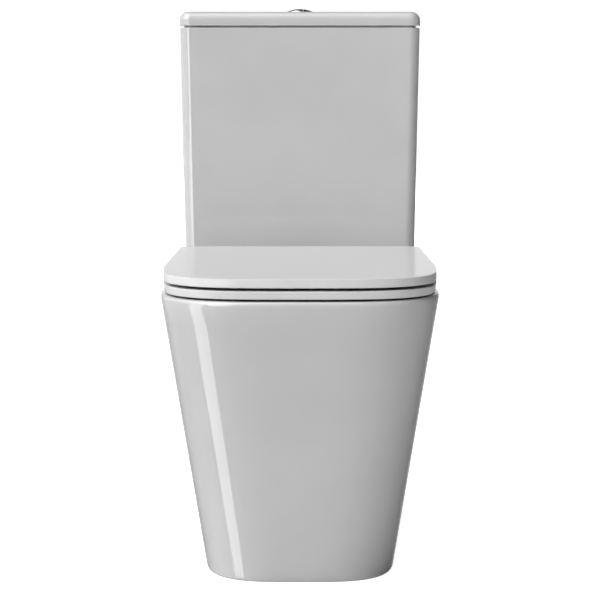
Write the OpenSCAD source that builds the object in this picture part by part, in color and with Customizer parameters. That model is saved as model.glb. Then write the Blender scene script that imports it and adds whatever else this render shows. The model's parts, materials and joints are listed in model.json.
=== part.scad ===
// Close coupled toilet: skirted tapered pan, cistern with a two-part push button, slim hinged seat and lid.
// Origin on the floor, midway between the wall and the front of the rim. +Z up, +Y to the wall, +X right.

/* [Pan] */
// Distance from the wall to the front of the rim
pan_depth = 640; // [610:5:680]
// Height of the rim and deck above the floor
rim_h = 402; // [385:1:430]
// Width of the pan at the rim
rim_w = 363; // [352:1:384]
// Width of the pan at the floor
foot_w = 264; // [250:2:290]
// How far the foot stands back from the rim at the front
foot_setback = 148; // [120:2:160]
// Length of the rounded front at the rim
rim_front_l = 170; // [150:2:190]
// Length of the rounded front at the floor
foot_front_l = 144; // [130:2:160]
// Squareness of the rim's rounded front, where 2 is an ellipse
rim_square = 3.35; // [2.8:0.05:4]
// Squareness of the foot's rounded front
foot_square = 3.6; // [2.8:0.05:4]
// Rounding of the rim's outer edge
rim_round = 7; // [4:0.5:9]
// Rounding of the bowl's edge in the rim
mouth_round = 5; // [3:0.5:7]
// Bevel round the bottom of the foot
foot_bevel = 1.5; // [0.5:0.5:3]
// Thickness of the skirt
skirt_t = 12; // [10:0.5:14]
// Thickness of the rim and deck
deck_t = 18; // [16:1:20]
// Width of the way in at the back of the skirt
back_open_w = 210; // [190:5:220]
// Height of the way in at the back of the skirt
back_open_h = 300; // [270:5:310]

/* [Bowl] */
// Width of the bowl's mouth
bowl_w = 244; // [230:2:256]
// Width of the rim in front of the bowl
front_rim_w = 56; // [50:1:62]
// Squareness of the bowl's plan
bowl_square = 2.9; // [2.4:0.1:3.4]
// Thickness of the bowl's wall
bowl_t = 10; // [8:0.5:12]
// Width of the sump at the foot of the bowl
sump_w = 70; // [66:1:76]
// Length of the sump
sump_l = 72; // [68:1:80]
// Distance from the wall to the middle of the sump
sump_from_wall = 313; // [300:1:325]
// Height of the sump's floor
sump_floor_h = 30; // [26:1:36]

/* [Trapway] */
// Inside radius of the trapway
trap_r = 32; // [28:0.5:33]
// Thickness of the trapway's wall
trap_t = 9; // [7:0.5:11]
// Height of the passage's middle line as it leaves the sump
dip_h = 66; // [64:1:72]
// Bend radius of the trapway's middle line
bend_r = 46; // [44:1:52]
// Slope of the rising leg, in degrees
rise_angle = 60; // [52:1:66]
// Distance from the wall to the start of the first bend
bend_from_wall = 264; // [256:1:268]
// Height of the outlet's middle line
outlet_h = 180; // [175:1:190]
// Outside radius of the outlet spigot
spigot_r = 51; // [45:0.5:55]
// Thickness of the spigot's wall
spigot_t = 8; // [6:0.5:10]
// Length of the straight spigot
spigot_l = 45; // [35:1:50]
// Length of the flare before the spigot
flare_l = 25; // [18:1:30]
// Gap from the spigot's end to the wall
spigot_gap = 50; // [40:1:60]

/* [Flush inlet] */
// Distance from the wall to the middle of the flush outlet
flush_from_wall = 80; // [74:1:86]
// Radius of the gasket's seat in the deck
gasket_seat_r = 56; // [54:0.5:60]
// Depth of the gasket's seat
gasket_seat_d = 12; // [8:0.5:13]
// Radius of the inlet hole below the seat
inlet_r = 35; // [33:0.5:38]
// Radius of the duct from the inlet to the bowl
duct_r = 26; // [22:0.5:28]
// Height of the duct's middle line below the deck
duct_drop = 50; // [46:1:56]
// Thickness of the duct's wall
duct_t = 8; // [7:0.5:10]

/* [Cistern] */
// Height of the cistern body
cistern_h = 354; // [330:2:380]
// How far the cistern's top stands out past the rim at each side
cistern_proud = 1.1; // [0:0.1:4]
// How far the cistern's bottom stands in from its top at each side
cistern_taper = 5; // [0:0.5:8]
// Depth of the cistern at its top
cistern_top_d = 155; // [150:1:165]
// Depth of the cistern at its bottom
cistern_foot_d = 152; // [146:1:156]
// Gap between the cistern and the wall
cistern_wall_gap = 2; // [1:1:6]
// Gap between the cistern and the deck
cistern_deck_gap = 2; // [1:0.5:4]
// Thickness of the cistern's walls
cistern_t = 9; // [8:0.5:11]
// Thickness of the cistern's floor
cistern_floor_t = 14; // [12:0.5:16]
// Rounding of the cistern's upright corners
cistern_corner_r = 16; // [14:1:20]
// Rounding of the cistern's bottom edge
cistern_foot_round = 5; // [3:0.5:7]

/* [Cistern lid] */
// Thickness of the lid at its edge
cistern_lid_h = 24.5; // [22:0.5:28]
// How far the lid stands proud of the body at the front and sides
lid_overhang = 0.6; // [0.5:0.1:3]
// Rounding of the lid's top edge
lid_edge_round = 14; // [10:0.5:14]
// Height of the shadow gap between the body and the lid
shadow_gap_h = 3; // [1:0.25:3.5]
// Depth of the shadow gap, in from the body's face
shadow_gap_d = 6; // [3:0.5:6]
// Thickness of the lid's plate
lid_plate_t = 10.5; // [9:0.5:12]
// Height of the lip that drops inside the body
lip_h = 8; // [6:0.5:10]
// Thickness of that lip
lip_t = 7; // [5:0.5:9]
// Clearance between the lip and the body's wall
lip_gap = 1.5; // [1:0.1:2.5]

/* [Push button] */
// Radius of the button's surround
bezel_r = 28; // [26:0.5:32]
// Thickness of the surround's flange
bezel_t = 3; // [2:0.5:4]
// Outside radius of the surround's threaded sleeve
sleeve_r = 23; // [22.5:0.5:25]
// Thickness of the sleeve
sleeve_t = 2; // [1.5:0.25:2.5]
// Length of the sleeve below the lid's top
sleeve_l = 34; // [30:1:36]
// Thickness of the sleeve's floor
sleeve_floor_t = 3; // [2:0.5:4]
// Clearance round the buttons
button_gap = 0.4; // [0.3:0.05:0.6]
// Height of the buttons' crown above the lid
button_rise = 8.4; // [7:0.1:10]
// Radius of the buttons' domed top
dome_r = 50; // [44:1:60]
// Height of a button from its foot to the crown
button_h = 12; // [11:0.5:13]
// Where the line between the buttons lies, to the right of the middle
button_split = 5; // [3:0.5:7]
// Travel of a button
button_travel = 5; // [4:0.5:6]
// Radius of the push rods
rod_r = 3; // [2.5:0.25:3.5]
// Distance from the split to the middle of the full flush rod
full_rod_offset = 14; // [12:0.5:16]
// Distance from the split to the middle of the half flush rod
half_rod_offset = 8; // [7:0.5:9]
// Radius of the collar nut under the lid
collar_r = 33; // [31:0.5:36]
// Thickness of the collar nut
collar_t = 8; // [6:0.5:9]

/* [Flush valve] */
// Outside radius of the threaded tail
tail_r = 30; // [28:0.5:31]
// Thickness of the tail's wall
tail_t = 4; // [3:0.5:5]
// Length of the tail below the cistern's floor
tail_l = 18; // [14:1:22]
// Radius of the valve's flange
flange_r = 42; // [40:0.5:45]
// Thickness of the valve's flange
flange_t = 4; // [3:0.5:5]
// Thickness of the rubber washer under the flange
washer_t = 3; // [2:0.5:4]
// Height of the ring that the seal closes on
valve_seat_h = 5; // [4:0.5:7]
// Radius of the back nut
back_nut_r = 43; // [40:0.5:44]
// Thickness of the back nut
back_nut_t = 10; // [8:0.5:11]
// Outside radius of the gasket
gasket_r = 55; // [53:0.5:57]
// Inside radius of the gasket
gasket_hole_r = 45; // [44.5:0.5:47]
// Height of the legs that carry the tower
leg_h = 46; // [40:1:56]
// Width of the openings between the legs
leg_gap_w = 40; // [34:1:44]
// Outside radius of the canister's tube
canister_r = 21; // [19:0.5:22]
// Thickness of the canister's tube
canister_t = 2; // [1.5:0.25:3]
// Depth of the overflow edge below the top of the cistern body
overflow_drop = 80; // [76:1:110]
// Radius of the disc at the foot of the canister
canister_disc_r = 34; // [32:0.5:35]
// Thickness of that disc
canister_disc_t = 4; // [3:0.5:6]
// Lift of the canister in a flush
canister_lift = 18; // [14:1:20]
// Thickness of the seal
seal_t = 3; // [2:0.5:4]
// Radius of the half flush float
half_float_r = 31; // [29:0.5:32]
// Height of the half flush float
half_float_h = 50; // [40:1:60]
// Width of the tower's columns
column_w = 14; // [10:1:18]
// Thickness of the tower's columns
column_t = 5; // [4:0.5:6]
// Height of the valve's head
head_h = 26; // [22:1:30]

/* [Fill valve] */
// Distance from the cistern's side to the fill valve
fill_from_side = 58.6; // [54:0.2:62]
// Distance from the wall to the fill valve
fill_from_wall = 68; // [60:1:76]
// Outside radius of the threaded shank
shank_r = 10.4; // [10:0.1:10.5]
// Inside radius of the shank
shank_bore_r = 6; // [5:0.5:7]
// Length of the shank below the cistern's floor
shank_l = 46; // [40:1:52]
// Radius of the shank's flange
shank_flange_r = 17; // [15:0.5:19]
// Radius of the riser tube
riser_r = 12; // [11:0.5:13]
// Depth of the riser's top below the top of the cistern body
riser_drop = 93; // [90:1:115]
// Radius of the valve's head
fill_head_r = 18; // [16:0.5:20]
// Height of the valve's head
fill_head_h = 34; // [30:1:38]
// Outside radius of the float cup
float_r = 30; // [27:0.5:31]
// Height of the float cup
float_h = 68; // [60:1:80]
// Rise of the float as the cistern fills
float_travel = 12; // [8:1:14]
// Distance from the arm's pivot to the float's rod
arm_l = 38; // [36:1:40]
// Width of the arm
arm_w = 10; // [8:0.5:12]
// Thickness of the arm
arm_t = 5; // [4:0.5:6]

/* [Seat and lid] */
// How far the seat and lid stand in from the rim at each side
seat_inset = 1.5; // [0.5:0.25:5]
// Distance from the back of the lid to the cistern
lid_to_cistern = 50; // [46:1:60]
// Length of the rounded front of the seat and lid
seat_front_l = 168; // [140:2:170]
// Squareness of that rounded front
seat_square = 3.5; // [2.8:0.05:4]
// How much softer the straight sides turn into that front
seat_side_ease = 1.5; // [0:0.1:1.5]
// Rounding of the edges of the seat and of the lid's foot
seat_edge_round = 1.2; // [0.8:0.1:2]
// Rounding of the lid's top edge
seat_lid_round = 1.6; // [1:0.1:3]
// How far the seat's front stands back from the rim
seat_setback = 1; // [0:0.5:4]
// Gap between the rim and the seat
rim_gap = 3.2; // [3:0.1:4.5]
// Thickness of the seat
seat_t = 10.6; // [9:0.2:12]
// Gap between the seat and the lid
lid_gap = 3.2; // [3:0.1:4.5]
// Thickness of the lid
seat_lid_t = 11; // [10:0.2:13]
// Depth of the hollow under the lid
lid_hollow = 4; // [3:0.25:5]
// Width of the solid band round that hollow
lid_band = 14; // [12:1:20]
// Width of the hole in the seat
seat_hole_w = 224; // [210:2:236]
// Width of the seat behind its hole
seat_rear_w = 71; // [66:1:84]
// Width of the seat in front of its hole
seat_front_w = 64; // [58:1:70]
// Squareness of the seat's hole
seat_hole_square = 2.8; // [2.4:0.1:3.4]
// Radius of the bumpers
bumper_r = 7; // [5:0.5:9]

/* [Seat hinge] */
// Distance between the hinge bolts
hinge_spacing = 155; // [140:1:165]
// Height of the hinge's axis above the deck
hinge_h = 15; // [14.5:0.1:16]
// Distance from the hinge's axis to the back edge of the lid
hinge_to_edge = 10; // [9:0.2:10.5]
// Distance from the hinge's axis to the back edge of the seat
hinge_to_seat = 10; // [9:0.2:12]
// Distance from the hinge's axis to the back of the bowl's mouth
hinge_to_mouth = 40; // [37:0.5:48]
// Radius of the hinge knuckles
knuckle_r = 7; // [6.5:0.1:7.5]
// Clearance round the knuckles
knuckle_gap = 0.6; // [0.4:0.1:0.8]
// Width of the hinge bracket's upright
bracket_w = 15; // [12:0.5:18]
// Width of a knuckle on the seat or the lid
knuckle_w = 12; // [10:0.5:14]
// Gap between neighbouring knuckles
knuckle_side_gap = 0.4; // [0.3:0.1:0.8]
// Radius of the damper pin
pin_r = 3; // [2.5:0.1:3.5]
// Running clearance round the damper pin
pin_fit = 0.06; // [0.02:0.01:0.1]
// Radius of the bracket's foot
bracket_foot_r = 15; // [14:0.5:18]
// Thickness of the bracket's foot
bracket_foot_t = 2.5; // [2:0.25:3]
// Radius of the hinge bolt
hinge_bolt_r = 4; // [3:0.5:4]
// Length of the hinge bolt below the deck's top
hinge_bolt_l = 52; // [48:1:60]

/* [Fixings] */
// Distance between the cistern bolts
coupling_spacing = 160; // [150:1:170]
// Radius of the cistern bolts
coupling_bolt_r = 4; // [4:0.5:5]
// Clearance round a bolt in ceramic
ceramic_gap = 2; // [1.5:0.25:3]
// Length of bolt below the deck
coupling_bolt_free = 34; // [30:1:44]
// Radius of the rubber washers on the bolts
bolt_washer_r = 13; // [11:0.5:15]
// Thickness of the washers on the bolts
bolt_washer_t = 3; // [2:0.5:4]
// Radius of a wing nut's hub
wing_hub_r = 8; // [7:0.5:9]
// Height of a wing nut's hub
wing_hub_h = 10; // [8:0.5:12]
// Reach of a wing nut from its middle
wing_reach = 20; // [17:0.5:22]
// Distance from the wall to the floor brackets
bracket_from_wall = 120; // [100:1:140]
// Height of the screws through the skirt
side_screw_h = 34; // [30:1:38]
// Radius of the screws through the skirt
side_screw_r = 3; // [2.5:0.5:3.5]
// Length of the screws through the skirt
side_screw_l = 40; // [36:1:44]
// Radius of the cover caps
cap_r = 10; // [9:0.5:12]
// Radius of the holes for the floor screws
floor_screw_r = 3.5; // [3:0.25:4]
// Distance between a bracket's two floor screws
floor_screw_spacing = 40; // [36:1:46]

/* [Hidden] */

// Smoothness of the ceramic's rings and of round pieces
ring_sides = 64;
corner_steps = 5;
pipe_sides = 24;
bend_steps = 5;
$fn = 48;
// Squareness of the back corners of the pan, the seat and the lid, which are all but sharp
back_square = 50;
// Angle from the straight sides over which the seat's softer turn fades away
ease_angle = 36;
// Overlap that lets a cut pass clean through a face
through = 1;

ceramic_color = [0.90, 0.90, 0.89];
seat_color = [0.88, 0.88, 0.88];
chrome_color = [0.78, 0.79, 0.80];
steel_color = [0.66, 0.67, 0.69];
plastic_color = [0.82, 0.83, 0.84];
blue_color = [0.35, 0.50, 0.66];
rubber_color = [0.16, 0.16, 0.17];

// Fits that several pieces share
bolt_fit = 0.3;
thread_fit = 0.1;
press_fit = 0.02;
cap_gap = 0.4;
tail_gap = 1.5;
lid_hole_gap = 1;
float_gap = 0.5;
arm_gap = 0.4;
arm_hole_gap = 1.6;

// Main lines of the layout
wall_y = pan_depth / 2;
front_y = -pan_depth / 2;
cavity_top = rim_h - deck_t;
flush_y = wall_y - flush_from_wall;
seat_w = rim_w - 2 * seat_inset;
cistern_top_w = rim_w + 2 * cistern_proud;
cistern_foot_w = cistern_top_w - 2 * cistern_taper;
fill_x = cistern_top_w / 2 - fill_from_side;
duct_z = rim_h - duct_drop;
cistern_z = rim_h + cistern_deck_gap;
cistern_top_z = cistern_z + cistern_h;
cistern_floor_z = cistern_z + cistern_floor_t;
cistern_back_y = wall_y - cistern_wall_gap;
lid_top_z = cistern_top_z + cistern_lid_h;
lid_under_z = lid_top_z - lid_plate_t;
fill_y = wall_y - fill_from_wall;

// Seat and lid
hinge_z = rim_h + hinge_h;
seat_z = rim_h + rim_gap;
seat_top_z = seat_z + seat_t;
seat_lid_z = seat_top_z + lid_gap;
seat_front_y = front_y + seat_setback;
lid_back_y = cistern_back_y - cistern_foot_d - lid_to_cistern;
hinge_y = lid_back_y - hinge_to_edge;
seat_back_y = hinge_y - hinge_to_seat;
seat_hole_l = seat_back_y - seat_rear_w - seat_front_y - seat_front_w;
bracket_x = hinge_spacing / 2;
seat_knuckle_x = bracket_x - bracket_w / 2 - knuckle_side_gap - knuckle_w;
lid_knuckle_x = bracket_x + bracket_w / 2 + knuckle_side_gap;

bumper_x = seat_w / 2 - 36;
bumper_front = 130;
bumper_back = 60;

// Bowl
mouth_front = front_y + front_rim_w;
mouth_back = hinge_y - hinge_to_mouth;
mouth_z = rim_h - mouth_round;
sump_y = wall_y - sump_from_wall;
sump_front = sump_y - sump_l / 2;
sump_back = sump_y + sump_l / 2;
sump_round = 12;
sump_top_z = sump_floor_h + sump_round;

sump_square = 2.2;
// Depth, as a share of the bowl's, at which its outside meets the underside of the rim
ceiling_u = (mouth_z - cavity_top) / (mouth_z - sump_top_z);

// Trapway, from the sump through a rising leg to the outlet
bend_y = wall_y - bend_from_wall;
bend_rise = bend_r * (1 - cos(rise_angle));
bend_run = bend_r * sin(rise_angle);
leg_rise = outlet_h - dip_h - 2 * bend_rise;
leg_l = leg_rise / sin(rise_angle);
leg_run = leg_l * cos(rise_angle);
crown_y = bend_y + 2 * bend_run + leg_run;
spigot_end_y = wall_y - spigot_gap;
spigot_y = spigot_end_y - spigot_l;
flare_y = spigot_y - flare_l;

// Fixings
bracket_y = wall_y - bracket_from_wall;
bracket_x1 = foot_w / 2 - skirt_t - 0.5;
bracket_foot_x = bracket_x1 - 40;
bracket_l = 70;
bracket_t = 5;
bracket_block_t = 12;
bracket_block_w = 24;
floor_screw_x = bracket_foot_x + 12;
cap_seat_x = skirt_half_w(side_screw_h - cap_r) - 0.8;
cap_t = 3.6;
screw_head_t = 2.2;
bolt_head_t = 6;
wing_t = 3;
cistern_edge_round = 1;

// Push button
sleeve_bore_r = sleeve_r - sleeve_t;
button_r = sleeve_bore_r - button_gap;
crown_z = lid_top_z + button_rise;
button_foot_z = crown_z - button_h;
sleeve_end_z = lid_top_z - sleeve_l;
full_rod_x = button_split - full_rod_offset;
half_rod_x = button_split + half_rod_offset;

// Flush valve
valve_flange_z = cistern_floor_z + washer_t;
valve_seat_z = valve_flange_z + flange_t + valve_seat_h;
canister_z = valve_seat_z + seal_t;
leg_t = 4;
leg_top_z = valve_flange_z + flange_t + leg_h;
overflow_z = cistern_top_z - overflow_drop;
tower_ring_h = 8;
column_x = flange_r - column_t / 2 - 1;
head_z = overflow_z + canister_lift + 6;
head_top_z = head_z + head_h;
rod_socket_d = button_travel + 4;
rod_gap = 0.5;
rod_end_z = head_top_z - 2;
rod_seat_d = 6;
// Grip grooves round the back nut and the collar nut
nut_groove_r = 3.5;

// Fill valve
shank_flange_z = cistern_floor_z + washer_t;
riser_top_z = cistern_top_z - riser_drop;
fill_nut_r = 18;
fill_nut_t = 9;
// Groove that ends the thread for the supply hose
relief_z = cistern_z - fill_nut_t;
relief_w = 1.5;
relief_d = 0.6;
notch_r = 22;
cheek_t = 3;
cheek_w = 9;
cheek_y = arm_w / 2 + arm_gap + cheek_t / 2;
float_rest_z = riser_top_z - float_h - float_travel - 2;
float_wall_t = 2;
float_lug_h = 12;
float_rod_r = 2;
rod_stub_l = 5;
rod_collar_t = 3;
rod_collar_gap = 1.2;
arm_z = riser_top_z + fill_head_h - 4;
arm_pin_r = 2.5;
arm_tail_l = 10;
// The arm hangs this far below level at rest and rises as far above it
arm_rest_angle = asin(float_travel / 2 / arm_l);

// Point at an angle of a ring whose front and back halves are rounded squares that meet at y_mid
function ring_point(angle, half_w, y_mid, front_l, back_l, front_power, back_power, z) =
    let (
        c = cos(angle),
        s = sin(angle),
        power = s < 0 ? front_power : back_power,
        reach = pow(pow(abs(c), power) + pow(abs(s), power), -1 / power)
    )
    [half_w * c * reach, y_mid + (s < 0 ? front_l : back_l) * s * reach, z];

// A level ring of points between y_front and y_back, widest at y_mid
function ring(half_w, y_front, y_mid, y_back, front_power, back_power, z, side_ease = 0) = [
    for (i = [0 : ring_sides - 1])
        let (
            a = 360 * i / ring_sides,
            eased = front_power - side_ease * max(0, 1 - asin(abs(sin(a))) / ease_angle)
        )
        ring_point(a, half_w, y_mid, y_mid - y_front, y_back - y_mid, eased, back_power, z)
];

// A level ring round a rectangle with rounded corners
function rounded_ring(half_w, y_front, y_back, corner, z) = [
    for (q = [0 : 3])
        let (
            x_sign = (q == 0 || q == 3) ? 1 : -1,
            y_mid = q < 2 ? y_back - corner : y_front + corner
        )
        for (i = [0 : corner_steps])
            let (a = 90 * q + 90 * i / corner_steps)
            [x_sign * (half_w - corner) + corner * cos(a), y_mid + corner * sin(a), z]
];

// A ring of a round pipe that runs in the plane of +Y and +Z at the given slope
function pipe_ring(radius, y, z, slope) = [
    for (i = [0 : pipe_sides - 1])
        let (a = 360 * i / pipe_sides)
        [radius * sin(a), y - radius * cos(a) * sin(slope), z + radius * cos(a) * cos(slope)]
];

function mix(a, b, t) = a + (b - a) * t;
function sum_axis(points, axis) = [for (p = points) p[axis]] * [for (p = points) 1];
function middle(points) = [for (axis = [0 : 2]) sum_axis(points, axis) / len(points)];

// Triangles of the band between ring r and ring s, each with count points
function band(r, s, count) = [
    for (k = [0 : count - 1])
        let (next = (k + 1) % count)
        each [
            [r * count + k, s * count + k, s * count + next],
            [r * count + k, s * count + next, r * count + next]
        ]
];

// A solid skinned over rings of points and capped at both ends
module loft(rings) {
    count = len(rings[0]);
    last = len(rings) - 1;
    first_cap = (last + 1) * count;
    points = concat([for (r = rings) each r], [middle(rings[0]), middle(rings[last])]);
    sides = [for (r = [0 : last - 1]) each band(r, r + 1, count)];
    start_cap = [for (k = [0 : count - 1]) [first_cap, k, (k + 1) % count]];
    end_cap = [for (k = [0 : count - 1]) [first_cap + 1, last * count + (k + 1) % count, last * count + k]];
    polyhedron(points = points, faces = concat(sides, start_cap, end_cap));
}

// A solid skinned over rings that come back to the first one
module loft_loop(rings) {
    count = len(rings[0]);
    total = len(rings);
    points = [for (r = rings) each r];
    sides = [for (r = [0 : total - 1]) each band(r, (r + 1) % total, count)];
    polyhedron(points = points, faces = sides);
}

// A straight round bar along Y
module bar_y(radius, y_start, y_end, z) {
    translate([0, y_start, z])
        rotate([-90, 0, 0])
            cylinder(r = radius, h = y_end - y_start);
}

// A straight round bar along X
module bar_x(radius, x_start, x_end, y, z) {
    translate([x_start, y, z])
        rotate([0, 90, 0])
            cylinder(r = radius, h = x_end - x_start);
}

// An upright tube that stands on z
module tube(outer_r, inner_r, x, y, z, h) {
    translate([x, y, z])
        difference() {
            cylinder(r = outer_r, h = h);
            translate([0, 0, -through])
                cylinder(r = inner_r, h = h + 2 * through);
        }
}

// The children and their mirror image across the middle
module pair() {
    children();
    mirror([1, 0, 0])
        children();
}

// ---- Pan ----

// The outside of the skirt at height z, drawn in by inset
function skirt_ring(z, inset, back_inset) =
    let (
        t = min(z / (rim_h - rim_round), 1),
        half_w = mix(foot_w, rim_w, t) / 2 - inset,
        y_front = front_y + foot_setback * (1 - t),
        front_l = mix(foot_front_l, rim_front_l, t)
    )
    ring(
        half_w,
        y_front + inset,
        y_front + front_l,
        wall_y - back_inset,
        mix(foot_square, rim_square, t), back_square, z
    );

function skirt_half_w(z) = mix(foot_w, rim_w, z / (rim_h - rim_round)) / 2;

// How much of the mouth's size is left at depth u, from 0 at the rim to 1 at the sump
function bowl_share(u) = pow(1 - pow(u, 1.6), 1.2);

function bowl_z(u) = mix(mouth_z, sump_top_z, u);

// The inside of the bowl at depth u, let out by outset, lowered by drop and shrunk about its middle
function bowl_ring(u, outset, drop, shrink = 1) =
    let (
        share = bowl_share(u),
        half_w = mix(sump_w, bowl_w, share) / 2 * shrink + outset,
        y_mid = mix(sump_y, (mouth_front + mouth_back) / 2, share),
        y_front = mix(sump_front, mouth_front, share),
        y_back = mix(sump_back, mouth_back, share),
        square = mix(sump_square, bowl_square, share)
    )
    ring(
        half_w,
        y_mid - (y_mid - y_front) * shrink - outset,
        y_mid,
        y_mid + (y_back - y_mid) * shrink + outset,
        square, square, bowl_z(u) - drop
    );

// Up the outside of the skirt and over the rim
function outside_rings() = [
    skirt_ring(0, foot_bevel, 0),
    for (z = [foot_bevel, rim_h * 0.2, rim_h * 0.4, rim_h * 0.6, rim_h * 0.8]) skirt_ring(z, 0, 0),
    for (a = [0 : 30 : 90]) skirt_ring(rim_h - rim_round * (1 - sin(a)), rim_round * (1 - cos(a)), 0)
];

// Down the edge of the bowl's mouth to the underside of the deck
function mouth_rings() = [
    for (a = [90, 60, 30]) bowl_ring(0, mouth_round * (1 - cos(a)), -mouth_round * sin(a)),
    bowl_ring(0, 0, 0),
    bowl_ring(ceiling_u, 0, 0)
];

// Down the inside of the bowl to the sump's floor
function bowl_rings() = [
    bowl_ring(ceiling_u, 0, 0),
    for (u = [0.1 : 0.1 : 0.9]) bowl_ring(u, 0, 0),
    bowl_ring(0.95, 0, 0),
    bowl_ring(1, 0, 0),
    bowl_ring(1, 0, sump_round * 0.7, 0.9),
    bowl_ring(1, 0, sump_round, 0.62)
];

// Up the underside of the bowl from the sump to the ceiling of the skirt
function underside_rings() = [
    bowl_ring(1, bowl_t * 0.8, sump_round + bowl_t, 0.62),
    bowl_ring(1, bowl_t, sump_round * 0.7 + bowl_t * 0.8, 0.9),
    for (u = [1, 0.9, 0.78, 0.66, 0.54, 0.42, 0.28, 0.14]) bowl_ring(u, bowl_t, bowl_t * u * u * 0.6),
    bowl_ring(ceiling_u, bowl_t, 0)
];

// Down the inside of the skirt to the floor
function cavity_rings() = [
    skirt_ring(cavity_top, skirt_t + 10, skirt_t + 10),
    skirt_ring(cavity_top - 10, skirt_t, skirt_t),
    skirt_ring(rim_h / 2, skirt_t, skirt_t),
    skirt_ring(0, skirt_t, skirt_t)
];

// The trapway's bends as a solid of the given radius, from y_start in the sump to y_end under the flare
module trap_bends(radius, y_start, y_end) {
    loft([
        pipe_ring(radius, y_start, dip_h, 0),
        for (a = [0 : rise_angle / bend_steps : rise_angle])
            pipe_ring(radius, bend_y + bend_r * sin(a), dip_h + bend_r * (1 - cos(a)), a),
        for (a = [rise_angle : -rise_angle / bend_steps : 0])
            pipe_ring(radius, crown_y - bend_r * sin(a), outlet_h - bend_r * (1 - cos(a)), a),
        pipe_ring(radius, y_end, outlet_h, 0)
    ]);
}

// The flare and the spigot as one turned solid
module spigot(start_r, end_r, y_end) {
    translate([0, flare_y, outlet_h])
        rotate([-90, 0, 0])
            rotate_extrude()
                polygon([
                    [0, 0], [start_r, 0], [end_r, flare_l],
                    [end_r, y_end - flare_y], [0, y_end - flare_y]
                ]);
}

// What the bowl's outside encloses, which the pipes that join it are cut to
module bowl_outside() {
    loft(underside_rings());
}

// The bowl's walls, the trapway and the inlet are cast apart and joined to the pan while they are wet
module pan_holes() {
    translate([0, flush_y, rim_h - gasket_seat_d])
        cylinder(r = gasket_seat_r, h = gasket_seat_d + through);
    translate([0, flush_y, cavity_top - through])
        cylinder(r = inlet_r, h = deck_t + through);
    // Way in at the back of the skirt
    translate([-back_open_w / 2, wall_y - 2 * skirt_t, -through])
        cube([back_open_w, 2 * skirt_t + through, back_open_h + through]);
    // Notch in the deck for the cistern's inlet
    translate([-fill_x, fill_y, cavity_top - 40])
        cylinder(r = notch_r, h = deck_t + 40 + through);
    translate([-fill_x - notch_r, fill_y, cavity_top - 40])
        cube([2 * notch_r, fill_from_wall + through, deck_t + 40 + through]);
    pair() {
        translate([coupling_spacing / 2, flush_y, cavity_top - through])
            cylinder(r = coupling_bolt_r + ceramic_gap, h = deck_t + 2 * through);
        translate([bracket_x, hinge_y, cavity_top - through])
            cylinder(r = hinge_bolt_r + ceramic_gap, h = deck_t + 2 * through);
        // Hole for the side screw and the flat seat of its cap
        bar_x(side_screw_r + ceramic_gap, foot_w / 2 - 2 * skirt_t, foot_w / 2 + skirt_t,
            bracket_y, side_screw_h);
        bar_x(cap_r + cap_gap, cap_seat_x, foot_w / 2 + skirt_t, bracket_y, side_screw_h);
    }
}

// Skirt, rim and deck
module pan() {
    color(ceramic_color)
        difference() {
            loft_loop(concat(cavity_rings(), outside_rings(), mouth_rings()));
            pan_holes();
        }
}

module bowl() {
    color(ceramic_color)
        difference() {
            loft(concat(underside_rings(), bowl_rings()));
            trap_bends(trap_r, sump_y, flare_y);
            bar_y(duct_r, mouth_back - 30, flush_y, duct_z);
        }
}

module trapway() {
    color(ceramic_color)
        difference() {
            union() {
                trap_bends(trap_r + trap_t, sump_y + bowl_t, flare_y + flare_l / 2);
                spigot(trap_r + trap_t + 2, spigot_r, spigot_end_y);
            }
            trap_bends(trap_r, sump_y, flare_y + flare_l / 2);
            spigot(trap_r + 1, spigot_r - spigot_t, spigot_end_y + through);
            bowl_outside();
        }
}

// Sleeve round the inlet and duct to the bowl
module flush_inlet() {
    color(ceramic_color)
        difference() {
            union() {
                translate([0, flush_y, duct_z - duct_r - duct_t])
                    cylinder(r = inlet_r + duct_t, h = cavity_top - duct_z + duct_r + duct_t);
                bar_y(duct_r + duct_t, mouth_back, flush_y, duct_z);
            }
            translate([0, flush_y, duct_z - duct_r])
                cylinder(r = inlet_r, h = duct_drop + duct_r);
            bar_y(duct_r, mouth_back - 30, flush_y, duct_z);
            bowl_outside();
            translate([-inlet_r - 2 * duct_t, mouth_back - through, cavity_top])
                cube([2 * inlet_r + 4 * duct_t, flush_y, deck_t]);
        }
}

// ---- Floor fixings ----

module floor_bracket() {
    difference() {
        union() {
            translate([bracket_foot_x, bracket_y - bracket_l / 2, 0])
                cube([bracket_x1 - bracket_foot_x, bracket_l, bracket_t]);
            translate([bracket_x1 - bracket_block_t, bracket_y - bracket_block_w / 2, 0])
                cube([bracket_block_t, bracket_block_w, side_screw_h + bracket_block_w / 2]);
        }
        bar_x(side_screw_r + thread_fit, bracket_x1 - bracket_block_t - through, bracket_x1 + through,
            bracket_y, side_screw_h);
        for (side = [-1, 1])
            translate([floor_screw_x, bracket_y + side * floor_screw_spacing / 2, -through])
                cylinder(r = floor_screw_r, h = bracket_t + 2 * through);
    }
}

module floor_brackets() {
    color(plastic_color)
        pair()
            floor_bracket();
}

module side_fixing_screws() {
    color(steel_color)
        pair() {
            bar_x(side_screw_r, cap_seat_x - side_screw_l, cap_seat_x + screw_head_t / 2,
                bracket_y, side_screw_h);
            bar_x(cap_r - 3, cap_seat_x, cap_seat_x + screw_head_t, bracket_y, side_screw_h);
        }
}

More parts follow.
